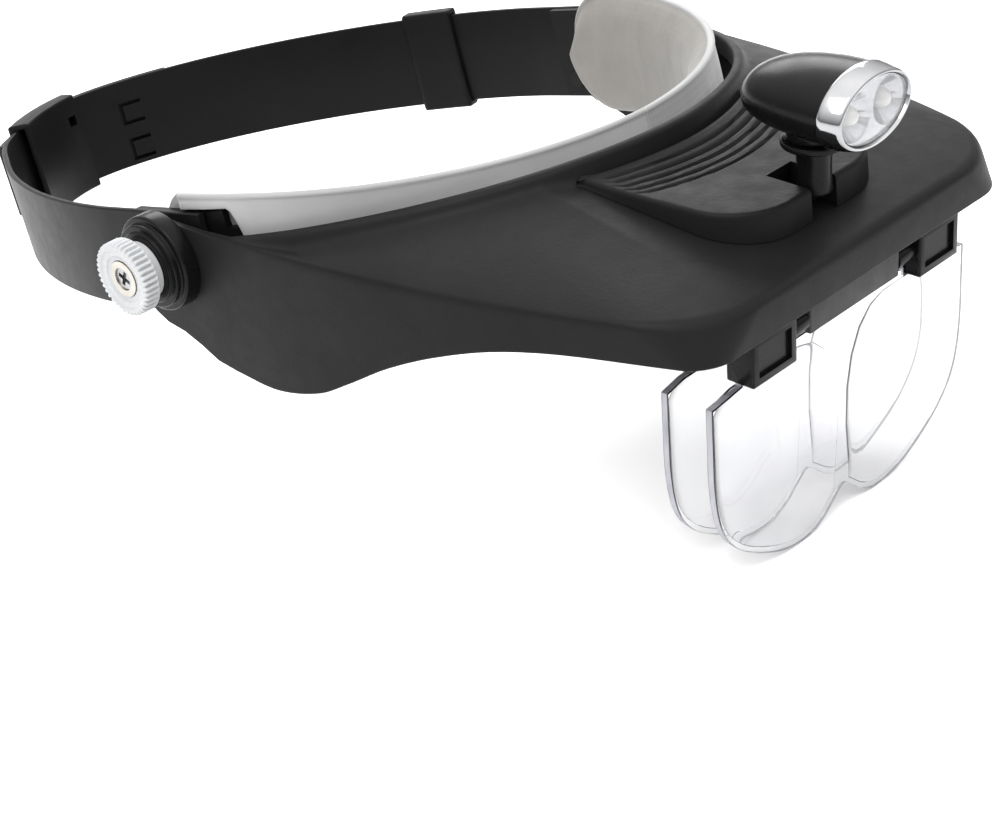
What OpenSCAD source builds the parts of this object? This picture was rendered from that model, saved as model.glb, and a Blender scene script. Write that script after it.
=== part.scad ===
// Head visor magnifier: an adjustable headband with a forehead pad carries a tilting
// visor, which holds a sliding lamp unit, a flip-up front lens and a slide-in rear lens.
// Millimetres, +Z up, the wearer looks along -Y, and +X is the wearer's left.
// The origin is the middle of the visor's tilt axis, between the two temple knobs.

/* [Headband] */
// Half of the straps' outside width at the temples
strap_half = 79.2; // [78.8:0.1:79.3]
// Distance from the tilt axis to the rear of the band, along the band
band_rear = 152.4; // [148:0.2:160]
// Distance from the tilt axis to the front of the inner band, along the band
band_front = 89; // [86:0.2:90]
// Height of the strap above the tilt axis
strap_above = 10.7; // [10:0.1:10.8]
// Height of the strap below the tilt axis
strap_below = 16; // [15:0.2:18]
// Thickness of a strap
strap_wall = 1.6; // [1.4:0.1:1.7]
// Thickness of the inner band over the forehead
band_wall = 2; // [1.6:0.1:2.2]
// Angle by which the band drops towards the back of the head
band_tilt = 13.5; // [12.5:0.5:14.5]

/* [Forehead pad] */
// Thickness of the foam in the middle of the forehead
foam_front = 5.4; // [4:0.2:6]
// Thickness of the foam at the temples
foam_side = 2.8; // [2:0.2:3.2]
// Thickness of the cloth cover
cover_wall = 0.9; // [0.7:0.1:1]

/* [Visor] */
// Distance from the tilt axis to the front edge
visor_front = 148; // [147:0.5:149]
// Half of the visor's width at the temples
visor_root = 81.6; // [81.6:0.1:82]
// Half of the visor's width at the front corners
visor_tip = 55; // [53:0.5:57]
// Wall thickness
visor_wall = 1.9; // [1.6:0.1:2]
// Height of the front crease
crease_front_z = 14.9; // [14.5:0.1:15.2]
// Height of the lip's lower edge
lip_z = 5; // [4.6:0.1:5.4]
// Lowest point of the cheek
cheek_z = -26.5; // [-30:0.5:-24]
// Corner radius of the top crease
crease_corner = 28; // [20:1:30]
// Corner radius of the lip
lip_corner = 11; // [8:1:16]

/* [Rim] */
// Half width of the forehead opening
rim_half = 82.3; // [82:0.1:82.6]
// Reach of the forehead opening ahead of its middle
rim_front = 95.5; // [95:0.1:96]
// Thickness of the raised rim
rim_wall = 2.6; // [2.2:0.1:2.8]
// Height of the raised rim over the top face
rim_rise = 4; // [3:0.2:4.4]

/* [Lenses] */
// Half width of a lens plate
lens_half = 48.4; // [46:0.2:50]
// Height of the lens plates' lowest point
lens_bottom = -60.6; // [-64:0.2:-56]
// Thickness of a lens plate
lens_wall = 2; // [1.8:0.1:2]
// Distance from the tilt axis to the front plate's back face
front_lens_at = 140; // [139.8:0.1:140.2]
// Distance from the tilt axis to the rear plate's back face
rear_lens_at = 127.4; // [126.5:0.1:128]

/* [Lamp] */
// Half width of the lamp's bezel
lamp_half = 13.4; // [13:0.1:13.8]
// Half height of the lamp's bezel
lamp_half_z = 8.5; // [8.2:0.1:8.8]
// Distance from the tilt axis to the lamp's face
lamp_face = 150.2; // [149:0.2:152]
// Height of the lamp's axis at its face
lamp_z = 45.5; // [45:0.1:46]
// Length of the lamp without its bezel
lamp_length = 27.6; // [26:0.2:30]

/* [Temple knobs] */
// Radius of a knob
knob_r = 9.5; // [8:0.1:10]
// Thickness of a knob's grip
knob_grip = 4.3; // [4:0.1:5]
// Radius of the disc behind a knob
disc_r = 12.3; // [12:0.1:13.5]

/* [Hidden] */

round_fn = 64;
small_fn = 40;
gap = 0.05;                              // running clearance on a pin or screw

// Band
strap_mid = 24.2;                        // where the strap is widest, behind the axis
strap_power = 1.74;
strap_nose = -14;                        // front ends of the straps
strap_out = strap_half - strap_wall;     // outside of the inner band at the temples
band_above = 6.1;                        // over the forehead
tail_above = strap_above - 0.3;          // where the inner band lies inside a strap
tail_from = 77.5;                        // where the taller tails of the inner band start
rivet_y = 9;
rivet_z = -10;
band_below = strap_below - 1;
pad_tail = 6;                            // how far the pad runs behind the tilt axis

// Pivot stack along X, from the inner band outwards
bolt_r = 2.9;
arm_in = strap_half + 0.7;
arm_out = visor_root + 0.2;
disc_out = 88.9;
knob_neck_out = 92;
knob_out = knob_neck_out + knob_grip;
spigot_r = 8;

// Visor top plane under the lamp unit
top_slope = 0.144;
top_z_ref = 24;
top_y_ref = 86;
deck_angle = atan(top_slope);
rim_power = 1.85;
rim_mid = -2;
rim_end_angle = 73.8;
side_power = 2.4;
arm_join = 20;                           // where the side arms meet the moulded hood

// Lens hinge
hinge_y = 142.5;
hinge_z = -0.5;
pin_r = 1.2;
frame_screw_x = 24;
frame_screw_y = 129;
screw_top = top_plane(frame_screw_y) - 0.4;   // heads of the rear lens frame's screws
clip_in = 23.6;
clip_out = 39.25;
clip_front = 146.3;
clip_back = 140 - 1.4;
clip_low = -7;
clip_wall = 1.1;
bar_half = 17;

// Lamp unit
deck_top_z = 24.6;
deck_front = 136.6;
deck_rear_half = 30.5;
deck_front_half = 26.5;
notch_half = 4.6;
notch_back = 123.5;
bracket_y = 131.5;
bracket_z = 20.8;
swivel_y = 133.5;
flange_z = 33.5;
cell_r = 6.25;
cell_x = 15.5;
cell_v = -34.4;                          // the cells' place along the deck
wire_x = 8.4;
wire_r = 0.55;
switch_y = 112;
rail_x = 23.2;
rail_w = 1.4;
rail_h = 0.7;
rail_front = 42;
rail_length = 28;

// ---------- helpers ----------
function pt(x, ahead, z) = [x, -ahead, z];
function unit(v) = v / norm(v);
function clamp01(u) = min(1, max(0, u));
function ease(u) = let (c = clamp01(u)) c * c * (3 - 2 * c);
function spow(v, p) = sign(v) * pow(abs(v), p);
function top_plane(ahead) = top_z_ref - top_slope * (ahead - top_y_ref);

// Closed solid through equal rings of points. Each end is closed by a strip between the first
// and the last half of its ring, so a thin bent ring closes cleanly.
// The rings may turn either way: the faces are turned to point outwards.
function cap(n, from) = [for (j = [0:ceil(n / 2) - 2]) each concat(
  [[from + j, from + j + 1, from + n - 1 - j]],
  j + 1 < n - 2 - j ? [[from + j + 1, from + n - 2 - j, from + n - 1 - j]] : [])];
function total(list) = [for (v = list) 1] * list;
function middle(ring) = total(ring) / len(ring);
function ring_turn(ring) = total([for (j = [1:len(ring) - 2])
  cross(ring[j] - ring[0], ring[j + 1] - ring[0])]);

module loft(rings) {
  n = len(rings[0]);
  m = len(rings);
  half = floor(m / 2);
  forward = ring_turn(rings[half - 1]) * (middle(rings[half]) - middle(rings[half - 1])) > 0;
  sides = [for (i = [0:m - 2]) for (j = [0:n - 1])
    each [[i * n + j, i * n + (j + 1) % n, (i + 1) * n + j],
          [i * n + (j + 1) % n, (i + 1) * n + (j + 1) % n, (i + 1) * n + j]]];
  first = [for (f = cap(n, 0)) [f[2], f[1], f[0]]];
  last = cap(n, (m - 1) * n);
  faces = concat(first, sides, last);
  polyhedron([for (r = rings) each r],
             forward ? [for (f = faces) [for (k = [len(f) - 1:-1:0]) f[k]]] : faces,
             convexity = 8);
}

// Closed solid between an upper and a lower grid of points, both in rows of equal length.
// Rows run forwards, and the points of a row run from the right to the left.
module slab(upper, lower) {
  m = len(upper);
  n = len(upper[0]);
  low = m * n;
  tops = [for (i = [0:m - 2]) for (j = [0:n - 2]) let (a = i * n + j)
    each [[a, a + 1, a + n], [a + 1, a + n + 1, a + n]]];
  bottoms = [for (f = tops) [f[0] + low, f[2] + low, f[1] + low]];
  ends = [for (j = [0:n - 2]) let (a = j, b = (m - 1) * n + j)
    each [[a, a + low, a + 1], [a + 1, a + low, a + low + 1],
          [b, b + 1, b + low], [b + 1, b + low + 1, b + low]]];
  sides = [for (i = [0:m - 2]) let (a = i * n, b = i * n + n - 1)
    each [[a, a + n, a + low], [a + n, a + n + low, a + low],
          [b, b + low, b + n], [b + n, b + low, b + n + low]]];
  polyhedron(concat([for (r = upper) each r], [for (r = lower) each r]),
             concat(tops, bottoms, ends, sides), convexity = 8);
}

// A cylinder along X from x0 to x1
module x_rod(x0, x1, r, ahead = 0, z = 0, fn = round_fn) {
  translate([min(x0, x1), -ahead, z]) rotate([0, 90, 0]) cylinder(r = r, h = abs(x1 - x0), $fn = fn);
}

module box_at(x0, x1, ahead0, ahead1, z0, z1) {
  translate([x0, -ahead1, z0]) cube([x1 - x0, ahead1 - ahead0, z1 - z0]);
}

// side is -1 for the wearer's right, +1 for the left
module on_side(side) {
  if (side < 0) mirror([1, 0, 0]) children();
  else children();
}

module in_band() {
  rotate([-band_tilt, 0, 0]) children();
}

module in_deck() {
  translate([0, -top_y_ref, top_z_ref]) rotate([deck_angle, 0, 0]) children();
}

// ---------- headband ----------
// Strap line seen along the band: 0 is the middle of the back, 90 the left temple
function strap_line(t) = [strap_half * spow(sin(t), 2 / strap_power),
                          strap_mid + (band_rear - strap_mid) * spow(cos(t), 2 / strap_power)];
function strap_normal(t) = let (d = strap_line(t + 0.6) - strap_line(t - 0.6)) unit([-d[1], d[0]]);
function strap_at(t, out) = strap_line(t) + out * strap_normal(t);

// The right strap runs outside the left one where they overlap in the buckle
function overlap_shift(t) = (strap_wall + 0.2) * ease((t + 46) / 16);

module strap_sheet(t0, t1, inner, outer, z0, z1, steps = 30) {
  line = [for (i = [0:steps]) t0 + (t1 - t0) * i / steps];
  far = [for (t = line) strap_at(t, outer)];
  near = [for (i = [steps:-1:0]) strap_at(line[i], inner)];
  translate([0, 0, z0]) linear_extrude(z1 - z0) polygon(concat(far, near));
}

module temple_holes() {
  in_band() x_rod(-strap_half - 1, strap_half + 1, bolt_r + 0.1);
  for (hole_y = [-rivet_y, rivet_y])
    in_band() x_rod(-strap_half - 1, strap_half + 1, 1.5, hole_y, rivet_z, small_fn);
}

module right_strap() {
  steps = 36;
  last_t = 24;
  line = [for (i = [0:steps]) -90 + (last_t + 90) * i / steps];
  far = [for (t = line) strap_at(t, overlap_shift(t))];
  near = [for (i = [steps:-1:0]) strap_at(line[i], overlap_shift(line[i]) - strap_wall)];
  outline = concat([[-strap_half, strap_nose]], far, near, [[-strap_out, strap_nose]]);
  color([0.13, 0.13, 0.14]) difference() {
    in_band() translate([0, 0, -strap_below]) linear_extrude(strap_above + strap_below)
      polygon(outline);
    temple_holes();
  }
}

module left_strap() {
  steps = 40;
  last_t = -20;
  line = [for (i = [0:steps]) 90 + (last_t - 90) * i / steps];
  far = [for (t = line) strap_at(t, 0)];
  near = [for (i = [steps:-1:0]) strap_at(line[i], -strap_wall)];
  outline = concat([[strap_half, strap_nose]], far, near, [[strap_out, strap_nose]]);
  color([0.13, 0.13, 0.14]) difference() {
    in_band() translate([0, 0, -strap_below]) linear_extrude(strap_above + strap_below)
      polygon(outline);
    temple_holes();
    press_tabs();
    buckle_hole();
  }
}

// Square hole in the strap and in the buckle's inner wall
module buckle_hole() {
  hole_t = -4;
  in_band() translate([strap_line(hole_t)[0], strap_line(hole_t)[1] - 3, 4.6]) cube([3, 8, 3], center = true);
}

// Three narrow cuts free each press tab on three sides
module press_tabs() {
  tab_t = 15;
  tab_w = 7;
  cut = 1.1;
  c = strap_line(tab_t);
  n = strap_normal(tab_t);
  for (z = [0.5, -11])
    in_band() translate([c[0], c[1], z]) rotate([0, 0, atan2(n[1], n[0]) - 90]) {
      translate([tab_w / 2 - cut, -4, -tab_w / 2]) cube([cut, 8, tab_w]);
      translate([-tab_w / 2, -4, -tab_w / 2]) cube([tab_w, 8, cut]);
      translate([-tab_w / 2, -4, tab_w / 2 - cut]) cube([tab_w, 8, cut]);
    }
}

// Inner band line: 0 is the middle of the forehead, 90 the left temple
function band_line(t, out = 0) = [(strap_out + out) * sin(t), -(band_front + out) * cos(t)];

module front_band() {
  steps = 48;
  line = [for (i = [0:steps]) -90 + 180 * i / steps];
  far = [for (t = line) band_line(t)];
  near = [for (i = [steps:-1:0]) band_line(line[i], -band_wall)];
  tail = -strap_nose;
  outline = concat([[-strap_out, tail]], far, [[strap_out, tail], [strap_out - band_wall, tail]],
                   near, [[-(strap_out - band_wall), tail]]);
  color([0.12, 0.12, 0.13]) difference() {
    in_band() translate([0, 0, -band_below]) union() {
      linear_extrude(band_above + band_below) polygon(outline);
      for (side = [-1, 1]) on_side(side) linear_extrude(tail_above + band_below) polygon(band_tail());
    }
    temple_holes();
  }
}

function band_tail() = let (line = [for (i = [0:5]) tail_from + (90 - tail_from) * i / 5])
  concat([for (t = line) band_line(t)],
         [[strap_out, -strap_nose], [strap_out - band_wall, -strap_nose]],
         [for (i = [5:-1:0]) band_line(line[i], -band_wall)]);

// The pad follows the inner band and ends behind the axis in round ends.
// u runs from -1 at the right end to 1 at the left end.
function pad_angle(u) = 97 * u;
function pad_point(u, out) = let (t = pad_angle(u)) abs(t) <= 90
  ? band_line(t, out)
  : [sign(t) * (strap_out + out), (abs(t) - 90) / 7 * pad_tail];
function pad_round(u) = let (e = (pad_point(u, 0)[1] + 9) / (pad_tail + 9)) e <= 0 ? 1 : sqrt(1 - 0.97 * e * e);
function pad_mid_z(u) = let (s = abs(sin(pad_angle(u)))) -4.5 + s + 1.8 * pow(s, 6);
function pad_half_z(u) = (14 + 3 * pow(abs(sin(pad_angle(u))), 2)) * pad_round(u);
function pad_top(u) = pad_mid_z(u) + pad_half_z(u);
function pad_low(u) = pad_mid_z(u) - pad_half_z(u);
function foam_at(u) = foam_side + (foam_front - foam_side) * pow(cos(min(90, abs(pad_angle(u)))), 2);
// Lower edge of the outer flap, which clears the straps and the temple fittings
function flap_low(u) = max(min(-11 + 22.2 * ease((abs(pad_angle(u)) - 71) / 5), pad_top(u) - 2.1),
                           pad_low(u) + 0.5);
// The flap ends ahead of the temple, and behind it the cover lies inside the band: 1 is on the flap
function flap_at(u) = 1 - ease((pad_point(u, 0)[1] + 6.5) / 3);
function over_band(u, out) = let (f = flap_at(u)) out * f - (band_wall + 0.3 - 0.15 * out) * (1 - f);

function ring3(u, section) = [for (q = section) let (p = pad_point(u, q[0])) [p[0], p[1], q[1]]];
pad_steps = [for (i = [-32:32]) let (v = i / 32) sign(v) * (1 - pow(1 - abs(v), 1.25))];

module pad_foam() {
  color([0.62, 0.6, 0.57]) in_band() loft([for (v = pad_steps) let (
    u = v * 0.985,
    a = -band_wall - 0.05,
    b = -band_wall - foam_at(u),
    lo = pad_low(u) + 1,
    hi = pad_top(u) - cover_wall - 0.5)
    ring3(u, [[a, lo], [b + 0.8, lo], [b, lo + 1], [b, hi - 1], [b + 0.8, hi], [a, hi]])]);
}

module pad_cover() {
  color([0.7, 0.7, 0.7]) in_band() loft([for (u = pad_steps) let (
    o = cover_wall + 0.1,
    i = -band_wall - foam_at(u) - 0.05,
    top = pad_top(u),
    low = pad_low(u),
    flap = flap_low(u))
    ring3(u, [[over_band(u, 0.1), flap], [over_band(u, 0.1), top - cover_wall - 0.6],
              [over_band(u, -0.3), top - cover_wall - 0.2],
              [i + 0.6, top - cover_wall - 0.2], [i, top - cover_wall - 0.8], [i, low],
              [i - cover_wall, low], [i - cover_wall, top - 1], [i - cover_wall + 1, top],
              [over_band(u, o) - 0.5, top], [over_band(u, o), top - 0.8], [over_band(u, o), flap]])]);
}

// Hook tape between the inner band and the foam's back, set in the foam's thickness
module hook_strip() {
  color([0.1, 0.1, 0.1]) in_band() for (t = [-45, 0, 45]) {
    p = band_line(t, -band_wall);
    n = unit([p[0] / pow(strap_out, 2), p[1] / pow(band_front, 2)]);
    translate([p[0], p[1], -6]) rotate([0, 0, atan2(n[1], n[0])])
      translate([-0.95, -5, -5]) cube([0.8, 10, 10]);
  }
}

module strap_rivets() {
  color([0.75, 0.75, 0.76]) for (side = [-1, 1]) on_side(side)
    for (hole_y = [-rivet_y, rivet_y]) in_band() {
      x_rod(strap_out - band_wall - 0.02, strap_half, 1.5, hole_y, rivet_z, small_fn);
      x_rod(strap_out - band_wall - 0.6, strap_out - band_wall, 2.4, hole_y, rivet_z, small_fn);
    }
}

sleeve_from = -24;
sleeve_to = -1;
module buckle_sleeve() {
  room = 0.15;
  wall = 1.4;
  inner = -strap_wall - room;
  outer = strap_wall + 0.2 + room;
  color([0.1, 0.1, 0.11]) difference() {
    in_band() strap_sheet(sleeve_from, sleeve_to, inner - wall, outer + wall,
                          -strap_below - room - wall, strap_above + room + wall, 14);
    in_band() strap_sheet(sleeve_from - 2, sleeve_to + 2, inner, outer,
                          -strap_below - room, strap_above + room, 16);
    buckle_hole();
  }
}

module buckle_plate() {
  start = strap_wall + 0.2 + 0.15 + 1.4;
  color([0.16, 0.15, 0.15]) in_band() {
    strap_sheet(-28, -8, start + 0.6, start + 2.4, -13, 8.6, 12);
    strap_sheet(-21, -15, start, start + 0.7, -9, 4, 3);
  }
}

keeper_from = 65.5;
keeper_to = 73.5;
module strap_keeper() {
  room = 0.35;
  wall = 1.3;
  color([0.1, 0.1, 0.11]) in_band() difference() {
    strap_sheet(keeper_from, keeper_to, -strap_wall - room - wall, room + wall,
                -strap_below - room - wall, strap_above + room + wall, 8);
    strap_sheet(keeper_from - 3, keeper_to + 3, -strap_wall - room, room,
                -strap_below - room, strap_above + room, 12);
  }
}

// ---------- temple pivots ----------
module pivot_bolt() {
  head_in = strap_out - band_wall - 1.2;
  cross = 1.1;
  difference() {
    union() {
      x_rod(head_in, strap_out - band_wall, 5);
      x_rod(head_in + 0.5, knob_out - 1, bolt_r);
    }
    for (a = [0, 90])
      translate([knob_out - 2, 0, 0]) rotate([a + 20, 0, 0]) translate([0, -2, -cross / 2])
        cube([2, 4, cross]);
  }
}

module washer() {
  difference() {
    x_rod(strap_half, strap_half + 0.55, 9);
    x_rod(strap_half - 1, strap_half + 2, bolt_r + 0.1);
  }
}

// Turned disc with two steps, outside the visor's arm
module pivot_disc() {
  step_out = arm_out + 4.6;
  difference() {
    union() {
      x_rod(arm_in, arm_out, spigot_r);
      x_rod(arm_out, step_out, disc_r);
      x_rod(step_out, disc_out - 0.8, disc_r - 1.6);
      x_rod(disc_out - 0.9, disc_out, disc_r - 3.2);
    }
    x_rod(arm_in - 1, disc_out + 1, bolt_r + gap);
  }
}

module knob() {
  teeth = 48;
  groove = 0.45;
  insert_r = 4.6;
  difference() {
    union() {
      x_rod(disc_out + 0.1, knob_neck_out + 0.1, 7.2);
      x_rod(knob_neck_out, knob_out, knob_r);
    }
    x_rod(disc_out - 1, knob_out + 1, insert_r);
    translate([knob_out - 0.7, 0, 0]) rotate([0, 90, 0]) difference() {
      cylinder(r = knob_r - 1.6, h = 1, $fn = round_fn);
      cylinder(r = 5.6, h = 1, $fn = round_fn);
    }
    for (i = [0:teeth - 1])
      rotate([i * 360 / teeth, 0, 0]) translate([knob_neck_out - 0.5, knob_r, 0])
        rotate([45, 0, 0]) cube([knob_grip + 1, groove, groove], center = false);
  }
}

module knob_insert() {
  difference() {
    x_rod(disc_out + 0.4, knob_out - 0.6, 4.6);
    x_rod(disc_out, knob_out + 1, bolt_r + gap);
  }
}

module right_pivot_bolt() { color([0.8, 0.8, 0.82]) on_side(-1) pivot_bolt(); }
module left_pivot_bolt() { color([0.8, 0.8, 0.82]) on_side(1) pivot_bolt(); }
module right_washer() { color([0.85, 0.85, 0.8]) on_side(-1) washer(); }
module left_washer() { color([0.85, 0.85, 0.8]) on_side(1) washer(); }
module right_pivot_disc() { color([0.1, 0.1, 0.11]) on_side(-1) pivot_disc(); }
module left_pivot_disc() { color([0.1, 0.1, 0.11]) on_side(1) pivot_disc(); }
module right_knob() { color([0.9, 0.9, 0.92]) on_side(-1) knob(); }
module left_knob() { color([0.9, 0.9, 0.92]) on_side(1) knob(); }
module right_knob_insert() { color([0.78, 0.76, 0.7]) on_side(-1) knob_insert(); }
module left_knob_insert() { color([0.78, 0.76, 0.7]) on_side(1) knob_insert(); }

// ---------- visor ----------
// Outline of the side seen from above: half width at a distance ahead of the axis
function side_x(ahead) = visor_root - (visor_root - visor_tip) * pow(max(0, ahead) / visor_front, side_power);
function side_slope() = -(visor_root - visor_tip) * side_power / visor_front;
corner_turn = 90 - atan(-side_slope());   // angle the outline turns through at a front corner

// Half outline from the middle of the front to the arm, as [x, ahead], with rounded corner
front_steps = 6;
corner_steps = 8;
side_steps = 16;
function half_outline(radius) = let (
    reach = radius * tan(corner_turn / 2),
    centre = [visor_tip - reach, visor_front - radius],
    end = centre + radius * [sin(corner_turn), cos(corner_turn)])
  concat(
    [for (i = [0:front_steps - 1]) [(visor_tip - reach) * i / front_steps, visor_front]],
    [for (i = [0:corner_steps]) let (a = corner_turn * i / corner_steps)
      centre + radius * [sin(a), cos(a)]],
    [for (i = [1:side_steps]) let (f = end[1] + (arm_join - end[1]) * i / side_steps,
       drift = end[0] - side_x(end[1]))
      [side_x(f) + drift * (1 - ease(i / 4)), f]]);
half_count = front_steps + corner_steps + 1 + side_steps;

// Rim angle for each station of the half outline
function rim_angle(i) = i <= front_steps ? 26 * i / front_steps
  : i <= front_steps + corner_steps ? 26 + 12 * (i - front_steps) / corner_steps
  : 38 + (rim_end_angle - 38) * (i - front_steps - corner_steps) / side_steps;
function rim_line(t, out = 0) = [(rim_half + out) * spow(sin(t), 2 / rim_power),
                                 rim_mid + (rim_front + out) * spow(cos(t), 2 / rim_power)];
function rim_z(ahead) = 5 + 0.27 * ahead;
function rim_base_z(ahead) = min(rim_z(ahead) - rim_rise, top_plane(ahead));
function crease_z(ahead) = min(crease_front_z, 10.2 + 0.034 * ahead);

// Lower edge of the side, from the arm through the cheek up to the lip
cheek_points = [[20, -25.8], [34, cheek_z], [48, -23], [58, -17.4], [70, -10], [84, -3.4],
                [100, 1.8], [118, 4.4], [148, 5]];
function lerp_at(p, i, f) = let (a = p[max(0, i - 1)], b = p[i], c = p[i + 1],
    d = p[min(len(p) - 1, i + 2)], u = (f - b[0]) / (c[0] - b[0]),
    m0 = (c[1] - a[1]) / (c[0] - a[0]) * (c[0] - b[0]),
    m1 = (d[1] - b[1]) / (d[0] - b[0]) * (c[0] - b[0]))
  (2 * u * u * u - 3 * u * u + 1) * b[1] + (u * u * u - 2 * u * u + u) * m0
  + (-2 * u * u * u + 3 * u * u) * c[1] + (u * u * u - u * u) * m1;
function smooth_at(p, f, i = 0) = f <= p[i + 1][0] || i >= len(p) - 2
  ? lerp_at(p, i, f) : smooth_at(p, f, i + 1);
function low_z(ahead) = ahead > visor_front - 2 ? lip_z : smooth_at(cheek_points, ahead);

outer_line = half_outline(crease_corner);
lip_line = half_outline(lip_corner);
function inward(line, i) = let (
    a = line[max(0, i - 1)],
    b = line[min(half_count - 1, i + 1)],
    d = i == 0 ? [1, 0] : unit(b - a))
  [d[1], -d[0]];

// Section of the hood at a station: rim, crease, lower edge, and back along the inside
function hood_section(i) = let (
    t = rim_angle(i),
    r0 = rim_line(t),
    r1 = rim_line(t, rim_wall * min(1, (half_count - i) / 6)),
    r2 = rim_line(t, rim_wall * min(1, (half_count - i) / 6) + 0.9),
    k = outer_line[i],
    b = lip_line[i],
    kn = inward(outer_line, i),
    bn = inward(lip_line, i),
    ki = k + kn * visor_wall * 1.1,
    bi = b + bn * visor_wall,
    zr = rim_z(r0[1]),
    zb = max(rim_base_z(r2[1]), crease_z(k[1]) - 0.2),
    zk = crease_z(k[1]),
    zl = low_z(b[1]),
    crown = 0.8 * sin(180 * ease((t - 26) / 50)))
  [pt(r0[0], r0[1], zr), pt(r1[0], r1[1], zr - 0.2), pt(r2[0], r2[1], zb),
   pt((r2[0] + k[0]) / 2, (r2[1] + k[1]) / 2, (zb + zk) / 2 + crown),
   pt(k[0] + kn[0] * 0.8, k[1] + kn[1] * 0.8, zk + 0.1), pt(k[0], k[1], zk - 1), pt(b[0], b[1], zl),
   pt(bi[0], bi[1], zl), pt(ki[0], ki[1], zk - visor_wall - 0.3),
   pt((r1[0] + ki[0]) / 2, (r1[1] + ki[1]) / 2, (zb + zk) / 2 + crown - visor_wall),
   pt(r0[0], r0[1], zb - visor_wall)];
function flip(section) = [for (q = section) [-q[0], q[1], q[2]]];

module hood() {
  left = [for (i = [0:half_count - 1]) hood_section(i)];
  right = [for (i = [half_count - 1:-1:1]) flip(left[i])];
  loft(concat(right, left));
}

// Flat arm with a round end, which carries the pivot disc
module visor_arm() {
  profile = [[-arm_join - 4, crease_z(arm_join)], [0, 10], [0, -20], [-arm_join - 4, low_z(arm_join + 4)]];
  translate([arm_in, 0, 0]) rotate([90, 0, 90]) linear_extrude(arm_out - arm_in) union() {
    polygon(profile);
    translate([0, -5]) circle(r = 15, $fn = round_fn);
  }
}

module visor_shell() {
  color([0.17, 0.17, 0.18]) difference() {
    union() {
      hood();
      for (side = [-1, 1]) on_side(side) visor_arm();
    }
    x_rod(-arm_out - 1, arm_out + 1, spigot_r + gap);
    for (x = [-frame_screw_x, frame_screw_x]) translate([x, -frame_screw_y, 0]) {
      translate([0, 0, 10]) cylinder(r = 1.25, h = 20, $fn = small_fn);
      translate([0, 0, screw_top - 1]) cylinder(r1 = 1.2, r2 = 2.3, h = 1.1, $fn = small_fn);
      translate([0, 0, screw_top]) cylinder(r = 2.3, h = 3, $fn = small_fn);
    }
  }
}

// Bar under the lip, which carries the pins of the flip-up clips
module lens_bar() {
  top = 13.4;
  color([0.25, 0.25, 0.26]) difference() {
    union() {
      box_at(-bar_half, bar_half, 140.4, 145, -3.8, 6);
      box_at(-bar_half - 3, bar_half + 3, 136, 140.6, 4.6, top);
      box_at(-bar_half, bar_half, 140.4, 145, 5.5, top);
    }
    x_rod(-bar_half - 1, bar_half + 1, pin_r, hinge_y, hinge_z, small_fn);
  }
}

module hinge_pins() {
  color([0.78, 0.78, 0.8]) for (side = [-1, 1]) on_side(side)
    x_rod(6, clip_out - 2.5, pin_r, hinge_y, hinge_z, small_fn);
}

// A clip: a block on a barrel, open below for the lens tab, with a window in front
module lens_clip() {
  top = 4.3;
  frame = 2;
  tab_room = 0.15;
  difference() {
    union() {
      box_at(clip_in, clip_out, clip_back, clip_front, clip_low, top);
      x_rod(bar_half + 0.3, clip_in + 0.2, 2.7, hinge_y, hinge_z, small_fn);
    }
    x_rod(bar_half - 1, clip_out - 2.4, pin_r + gap, hinge_y, hinge_z, small_fn);
    box_at(clip_in + clip_wall, clip_out - clip_wall, front_lens_at - tab_room,
           front_lens_at + lens_wall + tab_room, clip_low - 1, -2);
    box_at(clip_in + frame, clip_out - frame, clip_front - 0.9, clip_front + 1,
           clip_low + frame, top - 1.6);
  }
}
module right_lens_clip() { color([0.12, 0.12, 0.13]) on_side(-1) lens_clip(); }
module left_lens_clip() { color([0.12, 0.12, 0.13]) on_side(1) lens_clip(); }

// Half outline of a lens plate below its shoulder: outer side, round lower corner, lobe, notch
function lens_side() = concat(
  [[lens_half, -9.5], [lens_half + 0.3, -20], [lens_half - 0.4, -30], [lens_half - 2, -38.5]],
  [for (a = [8:14:92]) [lens_half - 18 + 14.4 * cos(a), -43 - 13.6 * sin(a)]],
  [[21, lens_bottom + 1.6], [14, lens_bottom], [8, lens_bottom + 1], [3.4, lens_bottom + 3.4],
   [0, lens_bottom + 6]]);

module lens_plate(back, flange) {
  half = lens_side();
  outline = concat(half, [for (i = [len(half) - 2:-1:0]) [-half[i][0], half[i][1]]]);
  translate([0, -back, 0]) rotate([90, 0, 0]) linear_extrude(lens_wall)
    polygon(concat(outline, flange));
}

// Each lobe is thicker behind the plate: a shallow lens moulded on its back
lobe_x = 22;
lobe_z = -33;
function lobe(shrink) = concat(
  [for (a = [-80:20:80]) [lobe_x + (20.5 - shrink) * pow(cos(a), 0.55), lobe_z + (21 - shrink) * sin(a)]],
  [for (a = [80:-20:-80]) [lobe_x - (20.5 - shrink) * pow(cos(a), 0.75), lobe_z + (21 - shrink) * sin(a)]]);

module lens_bulge(back) {
  for (side = [-1, 1]) on_side(side)
    translate([0, -back, 0]) rotate([90, 0, 0]) translate([0, 0, -1.2]) linear_extrude(1.3)
      polygon(lobe(0.6));
}

// The front plate has a tab for each clip, and stays clear of the clips between its tabs
front_tab = let (
    inner = clip_in + clip_wall + 0.15,
    outer = clip_out - clip_wall - 0.15,
    between = clip_in - 0.35,
    step_z = clip_low - 0.4)
  [[outer, -8.2], [outer, -2.3], [inner, -2.3], [inner, step_z], [between, step_z], [between, -5]];
module front_lens() {
  tabs = concat([for (q = front_tab) [-q[0], q[1]]],
                [for (i = [len(front_tab) - 1:-1:0]) front_tab[i]]);
  color([0.85, 0.9, 0.92, 0.35]) union() {
    lens_plate(front_lens_at, tabs);
    lens_bulge(front_lens_at);
  }
}

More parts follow.
